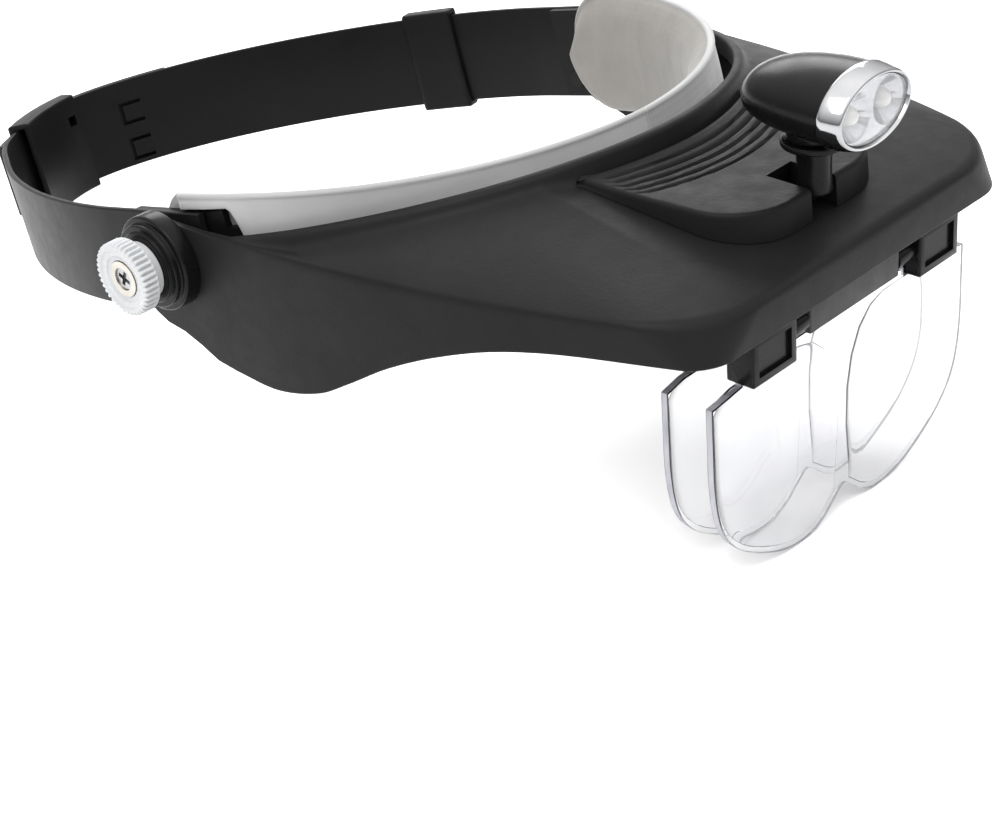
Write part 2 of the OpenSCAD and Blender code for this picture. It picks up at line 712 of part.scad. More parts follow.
rear_tab_half = 26;
module rear_lens() {
  color([0.85, 0.9, 0.92, 0.35]) union() {
    lens_plate(rear_lens_at, [[-lens_half + 6, -8.2], [-rear_tab_half, -8.2], [-rear_tab_half, 1.8],
                        [rear_tab_half, 1.8], [rear_tab_half, -8.2], [lens_half - 6, -8.2]]);
    lens_bulge(rear_lens_at);
  }
}

module rear_lens_frame() {
  room = 0.15;
  back = rear_lens_at - 2.6;
  front = rear_lens_at + lens_wall + 2.2;
  color([0.1, 0.1, 0.11]) difference() {
    box_at(-rear_tab_half - 2.4, rear_tab_half + 2.4, back, front, -3.6, 16.3);
    box_at(-rear_tab_half - room, rear_tab_half + room, rear_lens_at - room,
           rear_lens_at + lens_wall + room, -5, 2.2);
    for (x = [-frame_screw_x, frame_screw_x]) translate([x, -frame_screw_y, 5])
      cylinder(r = 1.1, h = 20, $fn = small_fn);
  }
}

module frame_screws() {
  color([0.75, 0.75, 0.77]) for (x = [-frame_screw_x, frame_screw_x]) translate([x, -frame_screw_y, 0]) {
    translate([0, 0, 8]) cylinder(r = 1.1, h = screw_top - 8 - 0.5, $fn = small_fn);
    translate([0, 0, screw_top - 1]) cylinder(r1 = 1.1, r2 = 2.1, h = 1, $fn = small_fn);
  }
}

// ---------- lamp unit ----------
// The case is a loft from its curved rear edge, beside the rim, to its straight front
deck_cols = 12;
function deck_width(u) = (deck_rear_half + (deck_front_half - deck_rear_half) * u)
  - 9 * (1 - sqrt(1 - pow(clamp01((u - 0.83) / 0.17) * 0.98, 2)));
function rim_ahead(x) = rim_mid + rim_front * pow(1 - pow(abs(x) / rim_half, rim_power), 1 / rim_power);
function deck_rear(x) = rim_ahead(x) + rim_wall + 1.9;
function deck_ahead(x, u) = deck_rear(x) * (1 - u) + deck_front * u;
function groove(d) = d < 3 || d > 18 ? 0 : 0.7 * pow(max(0, cos(180 * (d - 4.5) / 3)), 2);
function deck_z(x, u) = let (d = deck_ahead(x, u) - deck_rear(x))
  deck_top_z + 2.4 * (1 - pow(x / 36, 2)) * pow(max(0, 1 - d / 15), 2) - groove(d) * (abs(x) < 22 ? 1 : 0);

draft = 2.2;                             // the case is narrower at its top
function deck_low_row(u) = let (w = deck_width(u))
  [for (j = [0:deck_cols]) let (x = w * (2 * j / deck_cols - 1), f = deck_ahead(x, u))
    pt(x, f, top_plane(f) + 0.2)];
function deck_top_row(u) = let (w = deck_width(u) - draft)
  [for (j = [0:deck_cols]) let (
      x = w * (2 * j / deck_cols - 1),
      f = deck_ahead(x, u) - draft * pow(u, 12),
      edge = j == 0 || j == deck_cols || u == 1 ? 0.7 : 0)
    pt(x, f, max(deck_z(x, u) - edge, top_plane(f) + 0.9))];
deck_rows = [for (u = [0:0.026:0.442]) u];
deck_rows_front = [0.5, 0.6, 0.7, 0.8, 0.85, 0.9, 0.94, 0.97, 0.99, 1];

module deck_notch(extra = 0) {
  box_at(-notch_half - extra, notch_half + extra, notch_back - extra, deck_front + 3, 10, 40);
}

module lamp_case() {
  inner_x = 22;
  color([0.14, 0.14, 0.15]) difference() {
    slab([for (u = concat(deck_rows, deck_rows_front)) deck_top_row(u)],
         [for (u = concat(deck_rows, deck_rows_front)) deck_low_row(u)]);
    difference() {
      translate([0, 0, 8]) linear_extrude(deck_top_z - 8 - 1.4)
        polygon([[-inner_x - 1, -108], [inner_x + 1, -108], [inner_x, -131.5], [-inner_x, -131.5]]);
      deck_notch(1.6);
    }
    deck_notch();
    x_rod(-10.5, 10.5, pin_r, bracket_y, bracket_z, small_fn);
    box_at(inner_x - 1, 40, switch_y - 3.6, switch_y + 3.6, 21.4, 23);
    in_deck() for (side = [-1, 1]) on_side(side)
      translate([rail_x - 0.2, -rail_front - 0.2, -2]) cube([rail_w + 0.4, 60, rail_h + 2.25]);
  }
}

module case_base() {
  color([0.1, 0.1, 0.11]) difference() {
    in_deck() translate([0, 0, 0.3]) linear_extrude(0.9)
      polygon([[-22.7, -22.6], [22.7, -22.6], [21.7, -45.6], [-21.7, -45.6]]);
    deck_notch(1.8);
    box_at(20, 24, switch_y - 5, switch_y + 5, 15, 25);
  }
}

// Two rails on the hood's top guide the case as it slides forwards
module case_rails() {
  color([0.15, 0.15, 0.16]) in_deck() for (side = [-1, 1]) on_side(side)
    translate([rail_x, -rail_front, -0.05]) cube([rail_w, rail_length, rail_h + 0.05]);
}

module button_cells() {
  color([0.8, 0.8, 0.82]) for (side = [-1, 1]) on_side(side)
    in_deck() translate([cell_x, cell_v, 1.55])
      cylinder(r = cell_r, h = 1.5, $fn = round_fn);
}

module cell_contacts() {
  color([0.8, 0.72, 0.45]) for (side = [-1, 1]) on_side(side)
    in_deck() translate([cell_x, cell_v, 1.22]) {
      translate([-2, -6, 0]) cube([4, 12, 0.3]);
      translate([-5, 5, 0]) cube([7, 2, 0.3]);
    }
}

module switch_body() {
  color([0.08, 0.08, 0.08]) box_at(20.5, 22.6, switch_y - 4, switch_y + 4, 21.5, 23.1);
}

module switch_slider() {
  color([0.3, 0.3, 0.32]) union() {
    box_at(22.8, 28.2, switch_y - 3.4, switch_y + 0.2, 21.6, 22.8);
    for (i = [0:2]) box_at(28, 28.6, switch_y - 3.2 + i * 1.2, switch_y - 2.6 + i * 1.2, 21.7, 22.7);
  }
}

// The wires lie over the case base, from the contacts towards the lamp's bracket
module lamp_wires() {
  color([0.7, 0.12, 0.1]) for (side = [-1, 1]) on_side(side)
    in_deck() translate([wire_x, -44, 1.9]) rotate([-90, 0, 0])
      cylinder(r = wire_r, h = 16.5, $fn = 16);
}

module bracket_pin() {
  color([0.78, 0.78, 0.8]) x_rod(-10.2, 10.2, pin_r, bracket_y, bracket_z, small_fn);
}

// Upright bracket: a knuckle on the pin, a flat post and a round table for the lamp
module tilt_bracket() {
  half = notch_half - 0.3;
  color([0.1, 0.1, 0.11]) difference() {
    union() {
      x_rod(-half, half, 2.5, bracket_y, bracket_z, small_fn);
      box_at(-half + 0.4, half - 0.4, bracket_y - 1.6, swivel_y + 3.2, bracket_z + 1, flange_z + 0.2);
      translate([0, -swivel_y, flange_z]) cylinder(r = 7.6, h = 1.7, $fn = round_fn);
    }
    x_rod(-half - 1, half + 1, pin_r + gap, bracket_y, bracket_z, small_fn);
    translate([0, -swivel_y, flange_z - 3]) cylinder(r = 1.5 + gap, h = 6, $fn = small_fn);
    translate([0, -swivel_y, flange_z - 8]) cylinder(r = 3, h = 6.2, $fn = small_fn);
  }
}

module swivel_screw() {
  color([0.75, 0.75, 0.77]) translate([0, -swivel_y, 0]) {
    translate([0, 0, flange_z - 2.5]) cylinder(r = 1.5, h = 6, $fn = small_fn);
    translate([0, 0, flange_z - 3.2]) cylinder(r = 2.7, h = 1.3, $fn = small_fn);
  }
}

// Lamp body: oval rings whose size grows like a bullet from the tail to the bezel
lamp_back = lamp_face - 6;
function lamp_ring(ahead, a, b, z) = [for (t = [0:15:345]) pt(a * cos(t), ahead, z + b * sin(t))];
function lamp_grow(u) = pow(1 - pow(1 - u, 2.3), 1 / 2.3);
function lamp_mid(u) = lamp_z - 1.6 * pow(1 - u, 2);

module lamp_housing() {
  stations = [0.012, 0.05, 0.12, 0.2, 0.3, 0.42, 0.56, 0.7, 0.85, 1];
  color([0.1, 0.1, 0.11]) difference() {
    union() {
      loft([for (u = stations) lamp_ring(lamp_back - lamp_length * (1 - u),
        (lamp_half + 0.2) * lamp_grow(u), (lamp_half_z + 0.4) * lamp_grow(u), lamp_mid(u))]);
      translate([0, -swivel_y, flange_z + 1.8]) cylinder(r = 6.2, h = 3, $fn = round_fn);
    }
    loft([for (u = [0.55, 0.7, 0.85, 1.03]) lamp_ring(lamp_back - lamp_length * (1 - u),
      (lamp_half - 1.4) * lamp_grow(min(1, u)), (lamp_half_z - 1.4) * lamp_grow(min(1, u)), lamp_mid(min(1, u)))]);
    translate([0, -swivel_y, flange_z]) cylinder(r = 1.5, h = 3.55, $fn = small_fn);
  }
}

module lamp_bezel() {
  color([0.85, 0.86, 0.88]) difference() {
    loft([for (s = [[0.02, 0.35, 0.45], [1, 0.6, 0.6], [3.6, 0.3, 0.3], [5.4, 0, 0], [6, -0.5, -0.5]])
      lamp_ring(lamp_back + s[0], lamp_half + s[1], lamp_half_z + s[2], lamp_z)]);
    loft([for (s = [[-1, -1.2], [4.8, -1.2], [7, -0.9]])
      lamp_ring(lamp_back + s[0], lamp_half + s[1], lamp_half_z + s[1], lamp_z)]);
  }
}

led_x = 6;
led_r = 2.4;
module reflector() {
  plate = 3.6;
  color([0.9, 0.9, 0.92]) difference() {
    loft([for (s = [0.8, 0.8 + plate]) lamp_ring(lamp_back + s, lamp_half - 1.35, lamp_half_z - 1.35, lamp_z)]);
    for (side = [-1, 1]) on_side(side) translate([led_x, -lamp_back - 0.8, lamp_z]) rotate([90, 0, 0]) {
      translate([0, 0, 0.6]) cylinder(r1 = 2.9, r2 = 5.4, h = plate, $fn = round_fn);
      translate([0, 0, -1]) cylinder(r = 2.6, h = plate, $fn = round_fn);
    }
  }
}

module led_board() {
  color([0.15, 0.35, 0.2])
    loft([for (s = [-1, 0.3]) lamp_ring(lamp_back + s, lamp_half - 2.6, lamp_half_z - 2.4, lamp_z)]);
}

module leds() {
  color([0.95, 0.95, 0.9]) for (side = [-1, 1]) on_side(side)
    translate([led_x, -lamp_back - 0.32, lamp_z]) rotate([90, 0, 0]) difference() {
      union() {
        cylinder(r = led_r, h = 2, $fn = small_fn);
        translate([0, 0, 2]) sphere(r = led_r, $fn = small_fn);
      }
      translate([0, 0, -1]) cylinder(r = led_r + 1, h = 1, $fn = small_fn);
    }
}

module lamp_window() {
  color([0.9, 0.92, 0.95, 0.3])
    loft([for (s = [[4.82, -1.25], [5.6, -1.2]]) lamp_ring(lamp_back + s[0], lamp_half + s[1], lamp_half_z + s[1], lamp_z)]);
}

front_band();
pad_foam();
pad_cover();
hook_strip();
right_strap();
left_strap();
strap_rivets();
buckle_sleeve();
buckle_plate();
strap_keeper();
right_pivot_bolt();
left_pivot_bolt();
right_washer();
left_washer();
right_knob();
left_knob();
right_knob_insert();
left_knob_insert();
visor_shell();
right_pivot_disc();
left_pivot_disc();
lens_bar();
hinge_pins();
rear_lens_frame();
frame_screws();
right_lens_clip();
left_lens_clip();
front_lens();
rear_lens();
lamp_case();
case_base();
case_rails();
button_cells();
cell_contacts();
switch_body();
switch_slider();
lamp_wires();
bracket_pin();
tilt_bracket();
swivel_screw();
lamp_housing();
lamp_bezel();
reflector();
led_board();
leds();
lamp_window();
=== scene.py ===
"""Looks of the head visor magnifier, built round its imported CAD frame. Lengths are in millimetres."""
import math

import bmesh
import bpy
from mathutils import Matrix, Vector


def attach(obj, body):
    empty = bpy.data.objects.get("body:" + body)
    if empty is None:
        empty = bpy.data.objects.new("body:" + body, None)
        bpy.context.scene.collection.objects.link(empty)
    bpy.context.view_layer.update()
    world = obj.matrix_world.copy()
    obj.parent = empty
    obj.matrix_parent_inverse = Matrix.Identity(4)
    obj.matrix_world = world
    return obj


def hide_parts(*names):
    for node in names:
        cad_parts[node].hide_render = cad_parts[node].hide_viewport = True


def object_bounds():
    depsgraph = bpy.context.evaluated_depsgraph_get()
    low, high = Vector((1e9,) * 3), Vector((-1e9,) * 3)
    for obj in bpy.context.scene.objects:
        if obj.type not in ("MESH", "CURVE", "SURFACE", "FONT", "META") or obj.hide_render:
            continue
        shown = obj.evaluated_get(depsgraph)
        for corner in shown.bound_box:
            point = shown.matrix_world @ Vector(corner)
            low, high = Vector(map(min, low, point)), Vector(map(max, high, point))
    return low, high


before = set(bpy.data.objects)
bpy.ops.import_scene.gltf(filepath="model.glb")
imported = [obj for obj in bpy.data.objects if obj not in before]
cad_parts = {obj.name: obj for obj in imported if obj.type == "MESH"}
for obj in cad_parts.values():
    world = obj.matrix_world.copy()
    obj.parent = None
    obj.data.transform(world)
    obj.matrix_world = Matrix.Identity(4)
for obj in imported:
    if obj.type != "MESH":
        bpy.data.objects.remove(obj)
cad_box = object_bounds()

MM = 0.001


# ---------- small maths ----------
def pt(x, ahead, z):
    return Vector((x, -ahead, z))


def clamp01(u):
    return min(1.0, max(0.0, u))


def ease(u):
    c = clamp01(u)
    return c * c * (3 - 2 * c)


def spow(v, p):
    return math.copysign(abs(v) ** p, v)


def mix(a, b, u):
    return a + (b - a) * u


def dsin(a):
    return math.sin(math.radians(a))


def dcos(a):
    return math.cos(math.radians(a))


def spread(a, b, n):
    return [a + (b - a) * i / n for i in range(n + 1)]


def fillet(points, radii, steps, closed=True):
    """Rounds the corners of a polygon of points with short quadratic arcs."""
    out = []
    n = len(points)
    for i, b in enumerate(points):
        if not closed and i in (0, n - 1):
            out.append(b.copy())
            continue
        a, c = points[i - 1], points[(i + 1) % n]
        back, on = a - b, c - b
        p = b + back * min(0.48, radii[i] / max(back.length, 1e-6))
        q = b + on * min(0.48, radii[i] / max(on.length, 1e-6))
        for k in range(steps[i] + 1):
            u = k / steps[i]
            out.append(p * (1 - u) ** 2 + b * (2 * u * (1 - u)) + q * u ** 2)
    return out


# ---------- materials ----------
def new_material(name):
    m = bpy.data.materials.new(name)
    m.use_nodes = True
    nt = m.node_tree
    return m, nt, nt.nodes["Principled BSDF"]


def noise(nt, scale, detail=3.0, stretch=(1, 1, 1), uv=False, rough=0.5):
    """Noise over the object's own coordinates; scale is in features per metre."""
    at = nt.nodes.new("ShaderNodeTexCoord")
    mapping = nt.nodes.new("ShaderNodeMapping")
    mapping.inputs["Scale"].default_value = stretch
    tex = nt.nodes.new("ShaderNodeTexNoise")
    tex.inputs["Scale"].default_value = scale
    tex.inputs["Detail"].default_value = detail
    tex.inputs["Roughness"].default_value = rough
    nt.links.new(at.outputs["UV" if uv else "Object"], mapping.inputs["Vector"])
    nt.links.new(mapping.outputs["Vector"], tex.inputs["Vector"])
    return tex.outputs["Fac"]


def ramp(nt, value, low, high, lo=0.3, hi=0.7):
    """Maps a value to a colour between two, or to a number when two numbers are given."""
    if isinstance(low, (int, float)):
        node = nt.nodes.new("ShaderNodeMapRange")
        node.inputs["From Min"].default_value = lo
        node.inputs["From Max"].default_value = hi
        node.inputs["To Min"].default_value = low
        node.inputs["To Max"].default_value = high
        nt.links.new(value, node.inputs["Value"])
        return node.outputs["Result"]
    node = nt.nodes.new("ShaderNodeValToRGB")
    node.color_ramp.elements[0].position = lo
    node.color_ramp.elements[1].position = hi
    node.color_ramp.elements[0].color = (*low, 1)
    node.color_ramp.elements[1].color = (*high, 1)
    nt.links.new(value, node.inputs["Fac"])
    return node.outputs["Color"]


def bump(nt, bsdf, heights):
    """Chains bumps: each height is (value, depth in mm, strength)."""
    normal = None
    for value, depth, strength in heights:
        node = nt.nodes.new("ShaderNodeBump")
        node.inputs["Distance"].default_value = depth * MM
        node.inputs["Strength"].default_value = strength
        nt.links.new(value, node.inputs["Height"])
        if normal:
            nt.links.new(normal, node.inputs["Normal"])
        normal = node.outputs["Normal"]
    nt.links.new(normal, bsdf.inputs["Normal"])


def plastic(name, dark, light, rough, grain=0.9, depth=0.1, strength=0.35, spec=0.5, coat=0.0):
    """Moulded plastic: fine grain, faint blotches of shade, and a varying sheen."""
    m, nt, bsdf = new_material(name)
    blotch = noise(nt, 45, 4)
    fine = noise(nt, 1000 / grain, 3, rough=0.6)
    scuff = noise(nt, 230, 5)
    nt.links.new(ramp(nt, blotch, dark, light), bsdf.inputs["Base Color"])
    nt.links.new(ramp(nt, scuff, rough[0], rough[1]), bsdf.inputs["Roughness"])
    bsdf.inputs["Specular IOR Level"].default_value = spec
    bsdf.inputs["Coat Weight"].default_value = coat
    bsdf.inputs["Coat Roughness"].default_value = 0.25
    bump(nt, bsdf, [(fine, depth, strength), (scuff, 0.03, 0.2)])
    return m


def metal(name, dark, light, rough, stretch=(1, 1, 1), scale=400):
    """Metal with rubbed streaks and small differences of polish."""
    m, nt, bsdf = new_material(name)
    streak = noise(nt, scale, 4, stretch=stretch)
    nt.links.new(ramp(nt, noise(nt, 120, 3), dark, light), bsdf.inputs["Base Color"])
    nt.links.new(ramp(nt, streak, rough[0], rough[1]), bsdf.inputs["Roughness"])
    bsdf.inputs["Metallic"].default_value = 1.0
    bump(nt, bsdf, [(streak, 0.01, 0.15)])
    return m


def clear(name, tint, rough=(0.0, 0.03)):
    """Polished clear acrylic with a few faint handling marks."""
    m, nt, bsdf = new_material(name)
    marks = noise(nt, 90, 5)
    nt.links.new(ramp(nt, marks, rough[0], rough[1], 0.45, 0.75), bsdf.inputs["Roughness"])
    nt.links.new(ramp(nt, marks, tint, (0.99, 0.995, 1.0)), bsdf.inputs["Base Color"])
    bsdf.inputs["Transmission Weight"].default_value = 1.0
    bsdf.inputs["IOR"].default_value = 1.49
    bump(nt, bsdf, [(noise(nt, 60, 2), 0.02, 0.15)])
    return m


def sawn(name, dark, light):
    """Cut acrylic edge: frosted, so it glows with scattered light."""
    m, nt, bsdf = new_material(name)
    lines = noise(nt, 500, 4, stretch=(1, 1, 0.2))
    nt.links.new(ramp(nt, lines, dark, light), bsdf.inputs["Base Color"])
    nt.links.new(ramp(nt, noise(nt, 150), 0.35, 0.55), bsdf.inputs["Roughness"])
    bsdf.inputs["Transmission Weight"].default_value = 0.35
    bsdf.inputs["IOR"].default_value = 1.49
    bump(nt, bsdf, [(lines, 0.03, 0.3)])
    return m


def cloth(name, dark, light, thread=0.55, sheen=0.35, pull=(0.25, 12, 1)):
    """Cloth: a fine weave over faint shading, which can be drawn out along the piece's own length."""
    m, nt, bsdf = new_material(name)
    at = nt.nodes.new("ShaderNodeTexCoord")
    waves = []
    for direction in ("X", "Y"):
        w = nt.nodes.new("ShaderNodeTexWave")
        w.bands_direction = direction
        w.inputs["Scale"].default_value = 1000 / thread / 20 * math.pi
        w.inputs["Distortion"].default_value = 0.6
        nt.links.new(at.outputs["UV"], w.inputs["Vector"])
        waves.append(w.outputs["Fac"])
    weave = nt.nodes.new("ShaderNodeMath")
    weave.operation = "MULTIPLY"
    nt.links.new(waves[0], weave.inputs[0])
    nt.links.new(waves[1], weave.inputs[1])
    streak = noise(nt, 60, 5, stretch=pull, uv=True)
    soft = noise(nt, 55, 4)
    nt.links.new(ramp(nt, streak, dark, light, 0.25, 0.75), bsdf.inputs["Base Color"])
    nt.links.new(ramp(nt, soft, 0.55, 0.75), bsdf.inputs["Roughness"])
    bsdf.inputs["Sheen Weight"].default_value = sheen
    bsdf.inputs["Sheen Roughness"].default_value = 0.4
    bump(nt, bsdf, [(soft, 0.9, 0.35), (weave.outputs[0], 0.06, 0.4), (streak, 0.12, 0.35)])
    return m


MAT = {
    "visor": plastic("visor_plastic", (0.0065, 0.0065, 0.007), (0.0085, 0.0085, 0.009), (0.44, 0.52),
                     grain=1.0, depth=0.16, strength=0.32, spec=0.08),
    "case": plastic("case_plastic", (0.006, 0.006, 0.0065), (0.009, 0.009, 0.009), (0.40, 0.50),
                    grain=1.2, depth=0.2, strength=0.4, spec=0.06),
    "strap": plastic("strap_plastic", (0.0035, 0.0035, 0.004), (0.0045, 0.0045, 0.005), (0.38, 0.44),
                     grain=0.7, depth=0.06, strength=0.2, spec=0.09),
    "gloss": plastic("gloss_plastic", (0.003, 0.003, 0.0033), (0.0045, 0.0045, 0.005), (0.20, 0.30),
                     grain=2.5, depth=0.03, strength=0.12, spec=0.1),
    "bar": plastic("bar_plastic", (0.026, 0.026, 0.027), (0.036, 0.036, 0.037), (0.45, 0.6),
                   grain=0.8, depth=0.08, strength=0.25, spec=0.15),
    "knob": plastic("knob_plastic", (0.33, 0.335, 0.345), (0.40, 0.41, 0.415), (0.20, 0.32),
                    grain=2.0, depth=0.05, strength=0.2, spec=0.3, coat=0.15),
    "plate": plastic("buckle_plastic", (0.015, 0.0125, 0.0125), (0.022, 0.019, 0.019), (0.4, 0.55),
                     grain=0.8, depth=0.08, strength=0.25, spec=0.15),
    "nylon": plastic("nylon", (0.42, 0.42, 0.39), (0.5, 0.5, 0.47), (0.35, 0.5), grain=1.5),
    "wire": plastic("wire_cover", (0.34, 0.012, 0.01), (0.44, 0.02, 0.015), (0.35, 0.5), grain=1.5),
    "board": plastic("board_mask", (0.01, 0.07, 0.03), (0.02, 0.10, 0.04), (0.3, 0.45), grain=1.2),
    "steel": metal("plated_steel", (0.26, 0.26, 0.265), (0.34, 0.34, 0.345), (0.22, 0.38)),
    "nickel": metal("nickel_plate", (0.34, 0.325, 0.29), (0.42, 0.40, 0.365), (0.18, 0.32)),
    "brass": metal("contact_brass", (0.56, 0.42, 0.17), (0.66, 0.51, 0.24), (0.24, 0.4)),
    "chrome": metal("bezel_chrome", (0.30, 0.305, 0.315), (0.37, 0.37, 0.375), (0.05, 0.14), scale=300),
    "mirror": metal("reflector_mirror", (0.24, 0.24, 0.25), (0.32, 0.32, 0.33), (0.04, 0.12), scale=900),
    "lens": clear("lens_acrylic", (0.94, 0.94, 0.965)),
    "edge": sawn("lens_edge", (0.33, 0.32, 0.37), (0.52, 0.51, 0.56)),
    "window": clear("window_plastic", (0.96, 0.97, 0.99)),
    "cloth": cloth("pad_cloth", (0.18, 0.18, 0.18), (0.30, 0.30, 0.30)),
    "foam": cloth("pad_lining", (0.150, 0.143, 0.131), (0.180, 0.172, 0.159), thread=0.9, sheen=0.15,
                  pull=(2, 2, 1)),
    "hook": cloth("hook_tape", (0.005, 0.005, 0.005), (0.01, 0.01, 0.01), thread=1.0, sheen=0.1),
    "led": plastic("led_epoxy", (0.55, 0.55, 0.50), (0.65, 0.65, 0.62), (0.06, 0.12), grain=2.5, coat=0.6),
}
NODE_LOOK = {
    "front_band": "strap", "hook_strip": "hook", "strap_rivets": "gloss",
    "right_pivot_bolt": "steel", "left_pivot_bolt": "steel",
    "right_washer": "nylon", "left_washer": "nylon",
    "right_knob_insert": "nickel", "left_knob_insert": "nickel",
    "hinge_pins": "steel", "rear_lens_frame": "case", "frame_screws": "steel",
    "case_base": "case", "case_rails": "visor", "button_cells": "steel", "cell_contacts": "brass",
    "switch_body": "case", "switch_slider": "gloss", "lamp_wires": "wire", "bracket_pin": "steel",
    "swivel_screw": "steel", "led_board": "board",
}
for node_name, look in NODE_LOOK.items():
    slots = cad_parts[node_name].data.materials
    slots.clear()
    slots.append(MAT[look])


# ---------- mesh building ----------
def build(name, verts, faces, look, body, slot, replaces=(), sharp=42, uvs=None, weld=True):
    """Makes one piece from millimetre points, smooth-shaded with its hard edges kept."""
    mesh = bpy.data.meshes.new(name)
    mesh.from_pydata([v * MM for v in verts], [], faces)
    if uvs:
        layer = mesh.uv_layers.new(name="along")
        for loop in mesh.loops:
            layer.data[loop.index].uv = uvs[loop.vertex_index]
    bm = bmesh.new()
    bm.from_mesh(mesh)
    if weld:
        bmesh.ops.remove_doubles(bm, verts=bm.verts, dist=1e-6)
    bmesh.ops.recalc_face_normals(bm, faces=bm.faces)
    bm.to_mesh(mesh)
    bm.free()
    mesh.shade_smooth()
    mesh.set_sharp_from_angle(angle=math.radians(sharp))
    mesh.materials.append(MAT[look])
    obj = bpy.data.objects.new(name, mesh)
    bpy.context.scene.collection.objects.link(obj)
    if body:
        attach(obj, body)
    if replaces:
        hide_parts(*replaces)
    return obj


def loft_faces(count, n, closed=False):
    faces = []
    for i in range(count if closed else count - 1):
        k = (i + 1) % count
        faces += [(i * n + j, i * n + (j + 1) % n, k * n + (j + 1) % n, k * n + j) for j in range(n)]
    if not closed:
        faces += [tuple(range(n)), tuple((count - 1) * n + j for j in range(n))]
    return faces


def loft(name, rings, look, body, slot, closed=False, **more):
    return build(name, [v for r in rings for v in r], loft_faces(len(rings), len(rings[0]), closed),
                 look, body, slot, **more)


def bake_modifiers(obj):
    """Keeps what the modifiers make as the piece's own mesh."""
    dg = bpy.context.evaluated_depsgraph_get()
    made = bpy.data.meshes.new_from_object(obj.evaluated_get(dg))
    obj.modifiers.clear()
    obj.data = made


def cut(obj, cutters, solver="EXACT"):
    """Takes the cutters out of a piece, and deletes them."""
    for c in cutters:
        mod = obj.modifiers.new("cut", "BOOLEAN")
        mod.operation = "DIFFERENCE"
        mod.solver = solver
        mod.object = c
    bpy.context.view_layer.update()
    bake_modifiers(obj)
    obj.data.set_sharp_from_angle(angle=math.radians(42))
    for c in cutters:
        bpy.data.objects.remove(c)


def soften(obj, width, segments=3):
    """Rounds the hard edges of a piece."""
    mod = obj.modifiers.new("round", "BEVEL")
    mod.width = width * MM
    mod.segments = segments
    mod.limit_method = "ANGLE"
    mod.angle_limit = math.radians(40)
    mod.harden_normals = False
    bpy.context.view_layer.update()
    bake_modifiers(obj)
    obj.data.set_sharp_from_angle(angle=math.radians(50))
    return obj


BOX_FACES = [(0, 1, 3, 2), (4, 6, 7, 5), (0, 4, 5, 1), (2, 3, 7, 6), (0, 2, 6, 4), (1, 5, 7, 3)]


def box_points(x0, x1, a0, a1, z0, z1):
    return [pt(x, a, z) for x in (x0, x1) for a in (a0, a1) for z in (z0, z1)]


def boxes(name, corners, look, body, slot, **more):
    """One piece of several blocks, each given as x0, x1, ahead0, ahead1, z0, z1."""
    verts, faces = [], []
    for c in corners:
        faces += [tuple(i + len(verts) for i in f) for f in BOX_FACES]
        verts += box_points(*c)
    return build(name, verts, faces, look, body, slot, weld=False, **more)


def cutter(verts, faces):
    return build("cutter", verts, faces, "case", None, None)


def rod_rings(x0, x1, r, ahead=0.0, z=0.0, n=48):
    return [[pt(x, ahead + r * dcos(a), z + r * dsin(a)) for a in spread(0, 360 - 360 / n, n - 1)]
            for x in (x0, x1)]


def rod_cutter(x0, x1, r, ahead=0.0, z=0.0, n=48):
    rings = rod_rings(x0, x1, r, ahead, z, n)
    return cutter([v for ring in rings for v in ring], loft_faces(2, n))


BAND_TILT = Matrix.Rotation(math.radians(-13.5), 3, "X")


# ---------- dimensions shared with the CAD ----------
STRAP_HALF, STRAP_WALL = 79.2, 1.6
STRAP_ABOVE, STRAP_BELOW = 10.7, 16.0
BAND_REAR, BAND_FRONT, BAND_WALL = 152.4, 89.0, 2.0
STRAP_MID, STRAP_POWER, STRAP_NOSE = 24.2, 1.74, -14.0
STRAP_OUT = STRAP_HALF - STRAP_WALL
ROOT, TIP, FRONT, WALL = 81.6, 55.0, 148.0, 1.9
ARM_IN, ARM_OUT, ARM_JOIN = STRAP_HALF + 0.7, ROOT + 0.2, 20.0
DISC_OUT, KNOB_NECK_OUT, KNOB_OUT, BOLT_R = 88.9, 92.0, 96.3, 2.9


def top_plane(ahead):
    """Height of the hood's nearly flat top."""
    return 24 - 0.144 * (ahead - 86)


# ---------- hood ----------
SIDE_POWER = 2.4
TURN = 90 - math.degrees(math.atan((ROOT - TIP) * SIDE_POWER / FRONT))
STATION_CORNER, STATION_SIDE, STATION_END = 6, 14, 30
RIM_HALF, RIM_REACH, RIM_BACK, RIM_POWER = 82.3, 95.5, -2.0, 1.85


def side_x(ahead):
    return ROOT - (ROOT - TIP) * (max(0.0, ahead) / FRONT) ** SIDE_POWER


def outline(radius, i):
    """Half outline of the hood: x and distance ahead at station i, from the middle to the arm."""
    reach = radius * math.tan(math.radians(TURN / 2))
    centre = Vector((TIP - reach, FRONT - radius))
    if i <= STATION_CORNER:
        return Vector(((TIP - reach) * i / STATION_CORNER, FRONT))
    if i <= STATION_SIDE:
        a = TURN * (i - STATION_CORNER) / (STATION_SIDE - STATION_CORNER)
        return centre + radius * Vector((dsin(a), dcos(a)))
    end = centre + radius * Vector((dsin(TURN), dcos(TURN)))
    f = mix(end.y, ARM_JOIN, (i - STATION_SIDE) / (STATION_END - STATION_SIDE))
    drift = end.x - side_x(end.y)
    return Vector((side_x(f) + drift * (1 - ease((i - STATION_SIDE) / 4)), f))


def inward(radius, i):
    """Direction square to the outline, into the hood."""
    d = outline(radius, min(i + 0.3, STATION_END)) - outline(radius, max(i - 0.3, 0))
    d.normalize()
    return Vector((d.y, -d.x))


